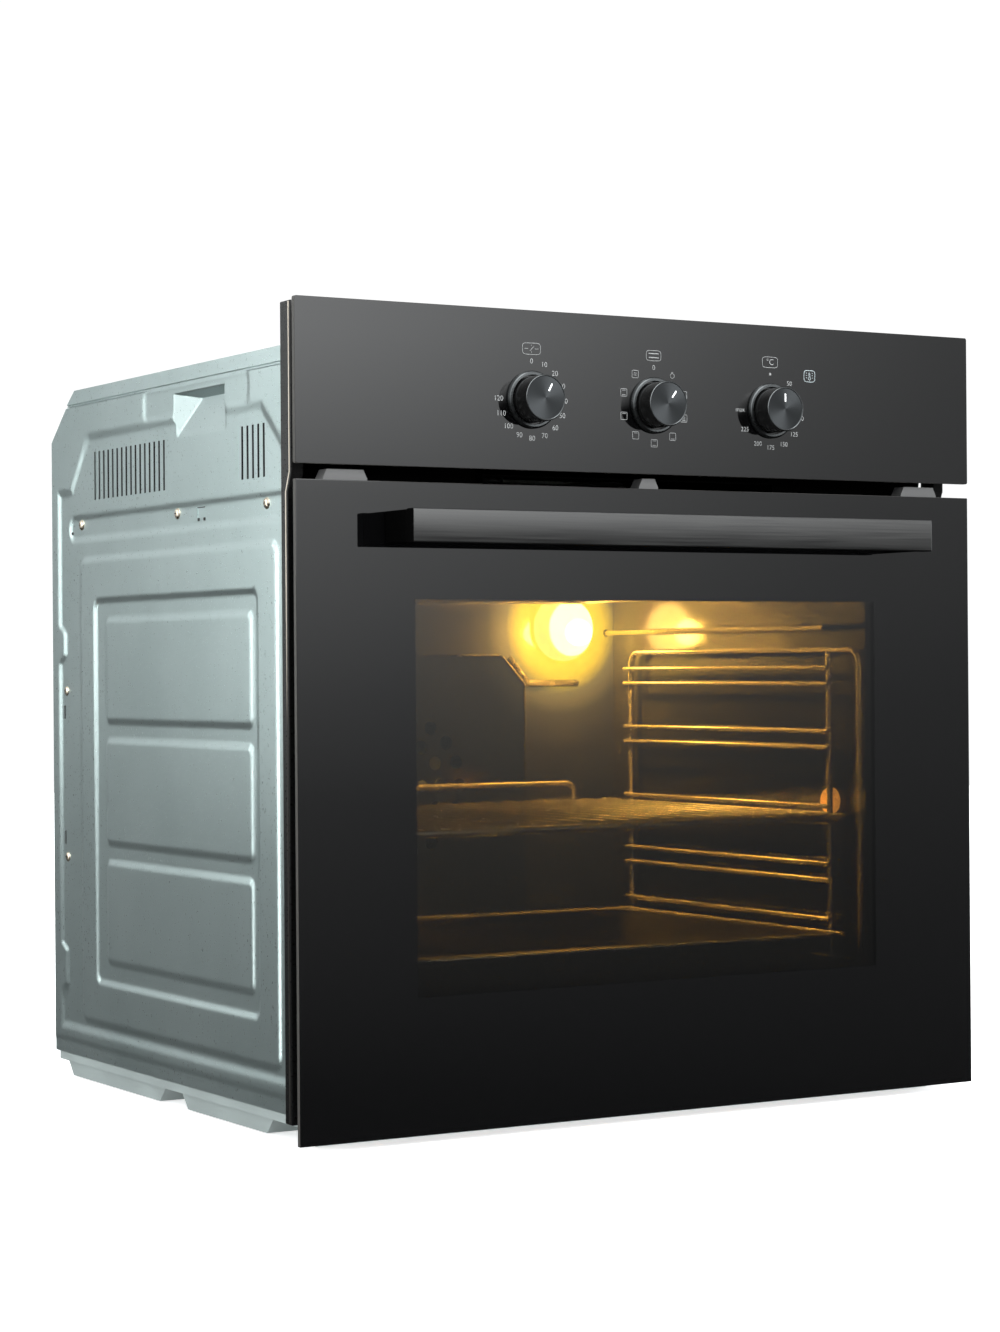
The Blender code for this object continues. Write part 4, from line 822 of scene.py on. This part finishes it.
def make_handle_mount(side, name):
    """Block between the bar and the glass, with its screw through the glass."""
    x_span = sorted((side * MOUNT_X[0], side * MOUNT_X[1]))
    screw_place = (sum(x_span) / 2, sum(MOUNT_Z) / 2)
    work = bmesh.new()
    add_box(work, x_span, (depth(-0.0318), FRONT_Y - 0.0002), MOUNT_Z)
    add_rod(work, "Y", screw_place, 0.003, FRONT_Y - 0.002, depth(0.009), 24)
    mount = paint(new_object("handle_block_" + name, work, "door"), BLACK_AND_PAINTED_SHADE)
    bevel(mount, 0.0008, 3)
    smooth(mount)
    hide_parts("handle_mount_" + name)


def make_knob(dial):
    """Knob turning about its own axis: spun face, bevelled rim, gloss black side."""
    centre = (DIAL_X[dial], KNOB_Z)
    front = depth(-0.0194)
    work = bmesh.new()
    profile = [(0.0, -0.0196), (0.0155, -0.0196), (0.0160, -0.0200), (0.0164, -0.0198), (0.0168, -0.0190)]
    profile += [(0.0168, -0.0014), (0.0164, -0.0010), (0.0034, -0.0010), (0.0034, -0.0105), (0.0, -0.0105)]
    add_turned(work, [(radius, depth(along)) for radius, along in profile], "Y", centre, 96)
    for face in work.faces:
        middle = face.calc_center_median()
        reach = math.hypot(middle.x - centre[0], middle.z - centre[1])
        if middle.y < front:
            face.material_index = 1 if reach < 0.0157 else 2
    bmesh.ops.translate(work, verts=work.verts[:], vec=(-centre[0], 0.0, -centre[1]))
    knob = new_object(dial + "_turn_knob", work, dial + "_dial")
    paint(knob, GLOSS_BLACK, SPUN, RIM)
    knob.location = (centre[0], 0.0, centre[1])
    smooth(knob, 30)
    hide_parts(dial + "_knob")


def make_pointer(dial):
    """White mark near the edge of the knob's face, made brighter by a faint painted glow."""
    work = bmesh.new()
    add_box(work, (-0.00055, 0.00055), (depth(-0.0199), depth(-0.0192)), (0.0055, 0.0115))
    turn = Matrix.Rotation(math.radians(POINTER_ANGLE[dial]), 3, "Y")
    bmesh.ops.rotate(work, verts=work.verts[:], matrix=turn)
    bmesh.ops.translate(work, verts=work.verts[:], vec=(DIAL_X[dial], 0.0, KNOB_Z))
    pointer = paint(new_object(dial + "_pointer", work, dial + "_dial"), POINTER)
    bevel(pointer, 0.0001, 1)


def make_bezel(dial):
    work = bmesh.new()
    ring = [(0.0178, -0.0003), (0.0178, -0.0031), (0.0181, -0.0035), (0.0196, -0.0035)]
    ring += [(0.0203, -0.0030), (0.0210, -0.0018), (0.0210, -0.0003)]
    ring = [(radius, depth(along)) for radius, along in ring]
    add_turned(work, ring, "Y", (DIAL_X[dial], KNOB_Z), 96, True)
    bezel = paint(new_object(dial + "_ring", work, "chassis"), RIM)
    smooth(bezel, 20)
    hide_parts(dial + "_bezel")


# ---------------------------------------------------------------- printed scales
def add_stroke(work, points, width=PRINT_LINE, closed=False):
    line = [(x, PRINT_Y, z) for x, z in points]
    add_tube(work, line, width * 0.48, 4, closed)


def add_text(work, text, x, z, height):
    """Upright generic lettering, centred on a point of the front glass."""
    data = bpy.data.curves.new("text", "FONT")
    data.body = text
    data.size = height / 0.72
    data.align_x = "CENTER"
    data.align_y = "CENTER"
    data.extrude = 0.00008
    data.offset = -0.00006
    data.resolution_u = 3
    writer = bpy.data.objects.new("text", data)
    bpy.context.scene.collection.objects.link(writer)
    turn = Matrix.Translation((x, PRINT_Y, z)) @ Matrix.Rotation(math.radians(90), 4, "X")
    letters = bpy.data.meshes.new_from_object(writer)
    letters.transform(turn)
    work.from_mesh(letters)
    bpy.data.meshes.remove(letters)
    bpy.data.objects.remove(writer)
    bpy.data.curves.remove(data)


def on_scale(x, angle, radius=SCALE_RADIUS):
    turn = math.radians(angle)
    return x + radius * math.sin(turn), KNOB_Z + radius * math.cos(turn)


def add_pillow(work, x, z, width, height):
    """Outline of an icon plate with slightly bowed sides."""
    points = []
    for i in range(48):
        angle = 2.0 * math.pi * i / 48
        c, s = math.cos(angle), math.sin(angle)
        reach = (abs(c) ** 5 + abs(s) ** 5) ** -0.2
        points.append((x + c * reach * width / 2, z + s * reach * height / 2))
    add_stroke(work, points, 0.0004, True)


def add_arc(work, x, z, radius, start, sweep, width=PRINT_LINE):
    steps = max(4, int(abs(sweep) / 12))
    points = []
    for i in range(steps + 1):
        angle = math.radians(start + sweep * i / steps)
        points.append((x + radius * math.sin(angle), z + radius * math.cos(angle)))
    add_stroke(work, points, width)


def print_timer(work):
    x = DIAL_X["timer"]
    for i in range(13):
        label = str(10 * i)
        add_text(work, label, *on_scale(x, 22.5 * i), SCALE_TEXT)
    add_pillow(work, x, ICON_Z, 0.0152, 0.0083)
    add_stroke(work, [(x - 0.0060, ICON_Z), (x - 0.0028, ICON_Z)])
    add_stroke(work, [(x + 0.0028, ICON_Z), (x + 0.0060, ICON_Z)])
    add_stroke(work, [(x, 0.5700), (x, 0.5690)])
    add_stroke(work, [(x, 0.5640), (x, 0.5650)])
    add_stroke(work, [(x - 0.0012, 0.5655), (x + 0.0004, 0.5672), (x + 0.0022, 0.5688)])


def print_thermostat(work):
    x = DIAL_X["thermostat"]
    marks = ((40, "50"), (70, "75"), (100, "100"), (128, "125"), (154, "150"))
    marks += ((180, "175"), (205, "200"), (238, "225"), (270, "max"))
    for angle, label in marks:
        add_text(work, label, *on_scale(x, angle), 0.0036)
    add_arc(work, *on_scale(x, 0), 0.0006, 0, 360, 0.0009)
    add_pillow(work, x, ICON_Z, 0.0142, 0.0081)
    add_text(work, "°C", x, ICON_Z, 0.0046)


def add_function_fan(work, x, z):
    for start in (0, 90, 180, 270):
        turn = math.radians(start + 45)
        add_arc(work, x + 0.0007 * math.sin(turn), z + 0.0007 * math.cos(turn), 0.0006, start, 220, 0.0003)


def print_selector(work):
    x = DIAL_X["selector"]
    add_text(work, "0", *on_scale(x, 0), SCALE_TEXT)
    add_pillow(work, x, ICON_Z, 0.0130, 0.0076)
    for z in (0.5655, 0.5685):
        add_stroke(work, [(x - 0.0044, z), (x + 0.0044, z)], 0.0009)
    bulb_x, bulb_z = on_scale(x, 36)
    add_arc(work, bulb_x, bulb_z, 0.0018, 0, 360)
    add_stroke(work, [(bulb_x - 0.0008, bulb_z + 0.0026), (bulb_x + 0.0008, bulb_z + 0.0026)])
    for number in range(2, 10):
        icon_x, icon_z = on_scale(x, 36 * number)
        half = 0.00275
        outline = rounded_rectangle((icon_x - half, icon_x + half), (icon_z - half, icon_z + half), 0.0007, 2)
        add_stroke(work, outline, 0.0004, True)
        if number in FAN_ICONS:
            add_function_fan(work, icon_x, icon_z)
        if number in LOWER_BARS:
            add_stroke(work, [(icon_x - 0.0016, icon_z - 0.0017), (icon_x + 0.0016, icon_z - 0.0017)])
        if number in UPPER_BARS:
            add_stroke(work, [(icon_x - 0.0016, icon_z + 0.0017), (icon_x + 0.0016, icon_z + 0.0017)])


def add_thermometer(work):
    x, z = 0.143, 0.558
    add_pillow(work, x, z, 0.0103, 0.0087)
    add_stroke(work, [(x - 0.0005, z - 0.0008), (x - 0.0005, z + 0.0026), (x + 0.0005, z + 0.0026)])
    add_stroke(work, [(x + 0.0005, z + 0.0026), (x + 0.0005, z - 0.0008)])
    add_arc(work, x, z - 0.0018, 0.0011, 25, 310)
    for offset in (-0.0028, 0.0028):
        for rise in (-0.0012, 0.0006, 0.0024):
            add_stroke(work, [(x + offset - 0.0005, z + rise), (x + offset + 0.0005, z + rise)])


def lay_print(name, work, ink):
    """Flatten the strokes and letters onto the front glass."""
    for vert in work.verts:
        vert.co.y = PRINT_Y + (vert.co.y - PRINT_Y) * PRINT_FLATTENING
    paint(new_object(name, work, "chassis"), ink)


def make_prints():
    work = bmesh.new()
    print_timer(work)
    print_selector(work)
    print_thermostat(work)
    lay_print("dial_scales", work, PRINT)
    work = bmesh.new()
    add_thermometer(work)
    lay_print("thermometer_icon", work, BRIGHT_PRINT)


# ---------------------------------------------------------------- embossed side panels
def step(value, low, high):
    """Ramp from 0 at low to 1 at high, with slightly rounded ends."""
    part = min(1.0, max(0.0, (value - low) / (high - low)))
    return 0.65 * part + 0.35 * part * part * (3.0 - 2.0 * part)


def field_distance(d, z, field, radius):
    """Signed distance to a rounded rectangle (d low, d high, z low, z high)."""
    half_d = (field[1] - field[0]) / 2 - radius
    half_z = (field[3] - field[2]) / 2 - radius
    out_d = abs(d - (field[0] + field[1]) / 2) - half_d
    out_z = abs(z - (field[2] + field[3]) / 2) - half_z
    return math.hypot(max(out_d, 0), max(out_z, 0)) + min(max(out_d, out_z), 0) - radius


def inside(distance, slope=SLOPE):
    return 1.0 - step(distance, -slope / 2, slope / 2)


def pressed_zone(d, z):
    """Distance to the edge of the pressed area that holds the vents and fields."""
    bulge = step(z, 0.342, 0.349) * (1 - step(z, 0.367, 0.374))
    bulge += step(z, 0.070, 0.077) * (1 - step(z, 0.104, 0.111))
    rear = d - (0.477 - 0.011 * bulge)
    slanted = (d - 0.448) * 0.771 + (z - 0.487) * 0.636
    corner = min(slanted, z - 0.4835)
    front = (z - 0.527) * 0.743 - (d - 0.092) * 0.669
    return max(rear, corner, z - 0.527, front, 0.042 - z)


def grip_recess(d, z):
    """The hand grip: deep in its middle, with a slope of its own on each side."""
    front, front_end, rear_start, rear = GRIP_D
    ramps = (
        (rear - d) / (rear - rear_start), (z - GRIP_Z[0]) / GRIP_RISE,
        (d - front) / (front_end - front), (GRIP_Z[1] - z) / GRIP_FALL,
    )
    return GRIP_DEPTH * min(1.0, max(0.0, min(ramps)))


def panel_recess(d, z):
    """How far the pressed sheet lies behind the outermost plane of the side."""
    recess = RIM_RECESS + (BASE_RECESS - RIM_RECESS) * inside(pressed_zone(d, z), 0.007)
    recess -= (recess - RIM_RECESS) * inside(field_distance(d, z, OUTER_FIELD, 0.009))
    recess += 0.0017 * inside(field_distance(d, z, MIDDLE_FIELD, 0.007))
    for field in INNER_FIELDS:
        recess -= 0.0014 * inside(field_distance(d, z, field, 0.006))
    recess += (BAND_RECESS - recess) * inside(field_distance(d, z, SCREW_BAND, 0.008))
    recess += 0.0007 * inside(field_distance(d, z, GRIP_FRAME, 0.006), 0.005)
    recess += 0.0008 * inside(field_distance(d, z, FOOT_FIELD, 0.004), 0.004)
    if z > STRIP_LOW:
        recess = 0.0011 * (z - STRIP_LOW) / (BODY_TOP - STRIP_LOW)
    elif z > STRIP_LOW - GROOVE_WIDTH:
        recess = RIM_RECESS + 0.0008
    return max(recess, grip_recess(d, z))


def grid_lines(low, high, zones, fixed):
    """Lines from low to high, closer together inside the zones, and the fixed ones."""
    lines = [low]
    while lines[-1] < high:
        position = lines[-1]
        dense = any(start <= position <= end for start, end in zones)
        lines.append(position + (FINE_STEP if dense else COARSE_STEP))
    lines[-1] = high
    loose = [line for line in lines if all(abs(line - edge) > FINE_STEP * 0.4 for edge in fixed)]
    return sorted(set(loose) | set(fixed) | {low, high})


def in_vent(d_low, d_high, z_low, z_high):
    middle_d = (d_low + d_high) / 2
    middle_z = (z_low + z_high) / 2
    if not VENT_LOW < middle_z < VENT_HIGH:
        return False
    return any(start < middle_d < start + VENT_WIDTH for start in VENTS)


def add_pressed_sheet(work, side):
    """The relief of the side panel as one thin sheet, open at the vents."""
    vent_edges = [start + offset for start in VENTS for offset in (0.0, VENT_WIDTH)]
    d_lines = grid_lines(BODY_FRONT, BODY_REAR, DENSE_D, vent_edges + list(GRIP_D))
    level_edges = [VENT_LOW, VENT_HIGH, GRIP_Z[0], *GROOVE_LINES]
    z_lines = grid_lines(BODY_BOTTOM, BODY_TOP, DENSE_Z, level_edges)
    z_lines = sorted(set(z_lines) | set(GRIP_TOP_LINES))
    grid = {}
    for i, d in enumerate(d_lines):
        for k, z in enumerate(z_lines):
            x = side * (PANEL_X - panel_recess(d, z))
            grid[i, k] = work.verts.new((x, depth(d), z))
    for i in range(len(d_lines) - 1):
        for k in range(len(z_lines) - 1):
            if not in_vent(d_lines[i], d_lines[i + 1], z_lines[k], z_lines[k + 1]):
                work.faces.new((grid[i, k], grid[i + 1, k], grid[i + 1, k + 1], grid[i, k + 1]))


def on_fold(edge, start, across):
    """True for the front, top, sloped and rear edges, where the sheet folds in."""
    for test in (
        lambda point: abs(point.y - depth(BODY_FRONT)) < 1e-5,
        lambda point: abs(point.y - depth(BODY_REAR)) < 1e-5,
        lambda point: abs(point.z - BODY_TOP) < 1e-5,
        lambda point: abs((point - start).dot(across)) < 1e-5,
    ):
        if all(test(vert.co) for vert in edge.verts):
            return True
    return False


def cut_and_fold(work, side):
    """Cut the sloped top rear corner off the sheet and fold its edges inward."""
    start = Vector((0.0, depth(BEVEL_START[0]), BEVEL_START[1]))
    along = Vector((0.0, BEVEL_END[0] - BEVEL_START[0], BEVEL_END[1] - BEVEL_START[1]))
    across = Vector((0.0, -along.z, along.y)).normalized()
    parts = work.verts[:] + work.edges[:] + work.faces[:]
    bmesh.ops.bisect_plane(work, geom=parts, plane_co=start, plane_no=across, clear_outer=True)
    loose = [vert for vert in work.verts if not vert.link_faces]
    bmesh.ops.delete(work, geom=loose, context="VERTS")
    fold = [edge for edge in work.edges if edge.is_boundary and on_fold(edge, start, across)]
    grown = bmesh.ops.extrude_edge_only(work, edges=fold)
    for item in grown["geom"]:
        if isinstance(item, bmesh.types.BMVert):
            item.co.x = side * (PANEL_X - FOLD_DEPTH)
    bmesh.ops.recalc_face_normals(work, faces=work.faces[:])
    outward = max(work.faces, key=lambda face: face.calc_area())
    if outward.normal.x * side < 0:
        bmesh.ops.reverse_faces(work, faces=work.faces[:])


def make_side_panel(side, name):
    """Pressed sheet, given its thickness before it is shaded."""
    work = bmesh.new()
    add_pressed_sheet(work, side)
    cut_and_fold(work, side)
    panel = paint(new_object("side_sheet_" + name, work, "chassis"), STEEL, CUT_EDGE)
    shell = panel.modifiers.new("sheet", "SOLIDIFY")
    shell.material_offset_rim = 1
    shell.thickness = SHEET
    shell.offset = -1.0
    bpy.context.view_layer.update()
    solid = panel.evaluated_get(bpy.context.evaluated_depsgraph_get())
    panel.data = bpy.data.meshes.new_from_object(solid)
    panel.modifiers.clear()
    smooth(panel, 40)
    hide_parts("side_panel_" + name)


def add_screw(work, side, d, z, recess, radius=0.0036, rise=0.0019):
    """Domed cross-head screw; its cross recess is a black inlay in the head, painted shade."""
    base = PANEL_X - recess
    profile = [(radius * 1.05, base - 0.0004), (radius, base + 0.0002)]
    for i in range(1, 7):
        angle = math.radians(15 * i)
        profile.append((radius * math.cos(angle), base + rise * math.sin(angle)))
    profile[-1] = (0.0, base + rise)
    points = [(reach, side * along) for reach, along in profile]
    add_turned(work, points, "X", (depth(d), z), 24)
    # Painted shade: the cross recess is a black cross standing just proud of the dome, not a hollow.
    for wide, tall in ((0.0032, 0.0007), (0.0007, 0.0032)):
        x_span = sorted((side * (base + rise - 0.0008), side * (base + rise + 0.00005)))
        y_span = (depth(d) - wide / 2, depth(d) + wide / 2)
        add_box(work, x_span, y_span, (z - tall / 2, z + tall / 2), 1)


def make_panel_screws(side, name):
    work = bmesh.new()
    for d in SCREW_DEPTHS:
        add_screw(work, side, d, SCREW_Z, BAND_RECESS, 0.0044, 0.0021)
    for z in (0.3195, 0.1818):
        add_screw(work, side, 0.4655, z, BASE_RECESS, 0.0040, 0.0016)
    screws = paint(new_object("panel_screws_" + name, work, "chassis"), BRASS, RECESS_SHADE_BLACK)
    smooth(screws, 40)


def tab_span(side, recess):
    """X span of a thin tab that stands just proud of the recessed sheet."""
    return sorted((side * (PANEL_X - recess + 0.0006), side * (PANEL_X - recess - 0.0002)))


def make_panel_tabs(side, name):
    """Small bent tabs, each beside the slot it was cut from; the slots are black strips, painted shade."""
    work = bmesh.new()
    x_span = tab_span(side, BAND_RECESS)
    for d in (0.1935, 0.4525):
        add_box(work, x_span, (depth(d + 0.0130), depth(d + 0.0152)), (0.4485, 0.4590))
        add_box(work, x_span, (depth(d), depth(d + 0.0130)), (0.4583, 0.4590), 1)
        for offset in (0.0, 0.0102):
            add_box(work, x_span, (depth(d + offset), depth(d + offset + 0.0026)), (0.4485, 0.4508), 1)
    x_span = tab_span(side, BASE_RECESS)
    for z in (0.302, 0.198):
        add_box(work, x_span, (depth(0.4705), depth(0.4740)), (z - 0.0055, z + 0.0055))
        add_box(work, x_span, (depth(0.4690), depth(0.4704)), (z - 0.0055, z + 0.0055), 1)
    tabs = paint(new_object("panel_tabs_" + name, work, "chassis"), STEEL, RECESS_SHADE_BLACK)
    bevel(tabs, 0.0002, 1)


def make_side_trim(side, name):
    """Black upright along the front edge of the side, stepped back below the fascia."""
    work = bmesh.new()
    add_prism(work, (side * TRIM_X[0], side * TRIM_X[1]), TRIM_OUTLINE)
    x_span = sorted((side * 0.262, side * 0.2804))
    add_box(work, x_span, (depth(0.0330), depth(0.0357)), (0.016, 0.462))
    trim = paint(new_object("body_trim_" + name, work, "chassis"), TRIM_BLACK)
    bevel(trim, 0.0009, 2)
    smooth(trim)
    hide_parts("side_trim_" + name)


def make_trim_strip(side, name):
    """Thin strip along the outer edge of the trim, carrying a painted highlight."""
    work = bmesh.new()
    x_span = sorted((side * 0.2898, side * 0.2903))
    for (d_low, z_low), (d_high, z_high) in zip(STRIP_LINE, STRIP_LINE[1:]):
        lower = ((d_low, z_low), (d_low + STRIP_WIDTH, z_low))
        upper = ((d_high + STRIP_WIDTH, z_high), (d_high, z_high))
        add_prism(work, x_span, lower + upper)
    bmesh.ops.remove_doubles(work, verts=work.verts[:], dist=1e-6)
    bmesh.ops.recalc_face_normals(work, faces=work.faces[:])
    paint(new_object("trim_strip_" + name, work, "chassis"), TRIM_HIGHLIGHT_PAINT)


# ---------------------------------------------------------------- inside the cavity
def make_rack(side, name):
    """Wire ladder of one cavity wall: a frame, an upright and pairs of rails."""
    x = side * RACK_X
    (front, back), (low, high) = RACK_D, RACK_Z
    corners = [(x, depth(d), z) for d, z in ((front, low), (front, high), (back, high), (back, low))]
    work = bmesh.new()
    add_tube(work, rounded_path(corners, 0.012, 8, True), RACK_WIRE, 16, True)
    add_rod(work, "Z", (x, depth(0.092)), RACK_WIRE, low, high)
    for level in RACK_LEVELS:
        for offset in (-RAIL_SPREAD, RAIL_SPREAD):
            add_rod(work, "Y", (side * 0.222, level + offset), 0.0020, depth(0.088), depth(0.389))
    rack = paint(new_object("side_rack_" + name, work, "chassis"), WIRE)
    smooth(rack, 50)
    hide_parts("rack_" + name)


def make_shelf():
    """Wire shelf: frame, rear upstand, two cross wires and the long wires."""
    work = bmesh.new()
    # The frame takes the darker copy of the chrome wire: painted shade.
    add_tube(work, level_loop(SHELF_HALF, SHELF_D, SHELF_Z, 0.010), 0.0030, 16, True, 1)
    upstand = [(x, depth(0.391), SHELF_Z + rise) for x, rise in UPSTAND]
    add_tube(work, rounded_path(upstand, 0.008, 8), 0.0025, 16)
    for d in (0.170, 0.280):
        add_rod(work, "X", (depth(d), SHELF_Z + 0.0008), 0.0020, -SHELF_HALF, SHELF_HALF)
    for i in range(SHELF_WIRES):
        x = (i - (SHELF_WIRES - 1) / 2) * SHELF_PITCH
        add_rod(work, "Y", (x, SHELF_Z + 0.0038), 0.0015, depth(SHELF_D[0]), depth(SHELF_D[1]), 12)
    shelf = paint(new_object("oven_wire_shelf", work, "shelf"), WIRE, SHELF_FRAME_PAINTED_SHADE)
    smooth(shelf, 50)
    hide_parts("wire_shelf")


def make_tray_rim():
    """Rolled wire edge of the baking tray."""
    work = bmesh.new()
    add_tube(work, level_loop(TRAY_RIM_HALF, TRAY_RIM_D, TRAY_RIM_Z, 0.0115), 0.0014, 12, True)
    paint(new_object("tray_rolled_rim", work, "tray"), TRAY_EDGE)


def make_liner_ledge():
    """Pressed ledge on the back wall, beside the fan cover."""
    ledge = [(x, depth(BACK_WALL_D), z) for x, z in ((0.1245, 0.345), (0.144, 0.322), (0.196, 0.322))]
    work = bmesh.new()
    add_tube(work, rounded_path(ledge, 0.003, 6), 0.0032, 12)
    paint(new_object("liner_pressed_ledge", work, "chassis"), TRAY_EDGE)


def make_upper_plates():
    """Dark plates in the gap between the door and the fascia, black like the outlet grille there and darker
    still as painted shade, and near-lightless sheets behind the side vents as painted shade.
    """
    work = bmesh.new()
    for x_span in ((-0.2775, -0.1315), (0.1315, 0.2775)):
        add_box(work, x_span, (depth(0.0378), depth(0.0390)), (0.4625, 0.4835))
    for side in (-1, 1):
        x_span = sorted((side * 0.2612, side * 0.2620))
        add_box(work, x_span, (depth(0.070), depth(0.425)), (0.466, 0.523))
    plates = paint(new_object("upper_front_plates", work, "chassis"), BLACK_AND_PAINTED_SHADE)
    bevel(plates, 0.0003, 1)


def make_rack_nut():
    # Brass nut on the right cavity wall; its orange glow is painted light.
    work = bmesh.new()
    profile = [(0.0, 0.2290), (0.0086, 0.2292), (0.0098, 0.2300)]
    profile += [(0.0104, 0.2312), (0.0104, 0.2349), (0.0, 0.2349)]
    add_turned(work, profile, "X", (depth(0.100), 0.2265), 32)
    nut = paint(new_object("rack_fixing_nut", work, "chassis"), BRASS_WITH_PAINTED_GLOW)
    smooth(nut, 40)


def make_fan_cover():
    """Pressed cover of the convection fan: chamfered corners, rings of round holes."""
    outline = list(COVER_HALF) + [(-x, z) for x, z in reversed(COVER_HALF)]
    holes = []
    for row_radius, hole_radius, count in COVER_HOLE_ROWS:
        holes += [(x, z, hole_radius) for x, z in around(0.0, FAN_Z, row_radius, count)]
    work = bmesh.new()
    add_plate(work, outline, holes, depth(COVER_D[0]), depth(COVER_D[0] + COVER_SHEET))
    rings = []
    for d, inset in zip((*COVER_D, *reversed(COVER_D)), (0.0, 0.0, COVER_SHEET, COVER_SHEET)):
        shrink = 1.0 - inset / 0.14
        ring = [(x * shrink, depth(d), 0.22 + (z - 0.22) * shrink) for x, z in outline]
        rings.append([work.verts.new(point) for point in ring])
    join_rings(work, rings, True)
    # The cover takes the liner's enamel with its painted lamp glow.
    cover = paint(new_object("fan_cover_plate", work, "chassis"), PAINTED_GLOW_ENAMEL)
    bevel(cover, 0.0006, 2)
    smooth(cover)
    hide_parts("fan_cover")


def make_cover_bead():
    """Bright bead along the top and right edges of the fan cover."""
    line = ((-0.1, 0.347), *reversed(COVER_HALF[2:]), (0.123, 0.200))
    edge = [(x, depth(0.3985), z) for x, z in line]
    work = bmesh.new()
    add_tube(work, rounded_path(edge, 0.004, 5), 0.0011, 10)
    paint(new_object("fan_cover_edge_bead", work, "chassis"), TRAY_EDGE)


def make_lamp_dome():
    profile = [(0.0, 0.4080), (0.0080, 0.4083), (0.0140, 0.4092), (0.0196, 0.4112), (0.0240, 0.4140)]
    profile += [(0.0272, 0.4178), (0.0290, 0.4220), (0.0290, 0.4277), (0.0270, 0.4277), (0.0270, 0.4224)]
    profile += [(0.0224, 0.4154), (0.0130, 0.4112), (0.0, 0.4100)]
    profile = [(radius, depth(along)) for radius, along in profile]
    work = bmesh.new()
    add_turned(work, profile, "Y", (LAMP.x, LAMP.z), 48)
    dome = paint(new_object("lamp_dome", work, "chassis"), LAMP_GLOW)
    smooth(dome, 40)
    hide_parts("lamp_glass")


def make_lamp_light():
    """The light of the oven lamp, just in front of its glass cap."""
    data = bpy.data.lights.new("oven_lamp", "POINT")
    data.energy = LAMP_POWER
    data.color = LAMP_COLOUR
    data.shadow_soft_size = 0.012
    add_to_scene("oven_lamp", data).location = (LAMP.x - 0.004, depth(0.392), LAMP.z - 0.004)


# ---------------------------------------------------------------- carried-over nodes
def paint_nodes():
    """Finishes of the CAD pieces that are shown as they are."""
    pairs = "hinge_arm hinge_pin hinge_rod hinge_spring door_side_rail"
    shafts = " timer_shaft selector_shaft thermostat_shaft blower_rotor blower_motor"
    finishes = (
        (PALE, "base_tray"),
        (STEEL, "top_cover rear_panel convection_fan"),
        (ENAMEL, "front_frame baking_tray"),
        # Painted light: the liner's enamel carries the lamp's glow as emission.
        (PAINTED_GLOW_ENAMEL, "cavity_liner"),
        (WOOL, "insulation_blanket"),
        (RUBBER, "door_gasket"),
        (HEATER, "grill_element bottom_element ring_element"),
        (MOTOR, "fan_motor lamp_holder" + shafts),
        (MOTOR, " ".join(part + end for part in pairs.split() for end in ("_left", "_right"))),
        (LAMP_GLOW, "lamp_bulb"),
        # Painted shade: the parts behind the fascia are near-lightless black, to keep the gap above the door
        # dark.
        (BLACK_AND_PAINTED_SHADE, "control_bracket blower_housing"),
        (GREY_PLASTIC, "timer_body selector_body thermostat_body terminal_block"),
        (WIRE, "thermostat_probe"),
        (TAB_GREY, "door_top_trim"),
    )
    for material, names in finishes:
        for name in names.split():
            for slot in nodes[name].material_slots:
                slot.material = material


bpy.context.scene.view_settings.view_transform = "Standard"
make_camera()
make_world()
make_lights()
make_floor()
make_fascia()
make_front_glass()
make_inner_glass()
make_handle_bar()
for part_side, part_name in ((-1, "left"), (1, "right")):
    make_handle_mount(part_side, part_name)
for dial_name in DIAL_X:
    make_knob(dial_name)
    make_pointer(dial_name)
    make_bezel(dial_name)
make_prints()
for part_side, part_name in ((-1, "left"), (1, "right")):
    make_side_panel(part_side, part_name)
    make_panel_screws(part_side, part_name)
    make_panel_tabs(part_side, part_name)
    make_side_trim(part_side, part_name)
    make_trim_strip(part_side, part_name)
    make_rack(part_side, part_name)
make_shelf()
make_tray_rim()
make_liner_ledge()
make_upper_plates()
make_rack_nut()
make_fan_cover()
make_cover_bead()
make_lamp_dome()
make_lamp_light()
paint_nodes()
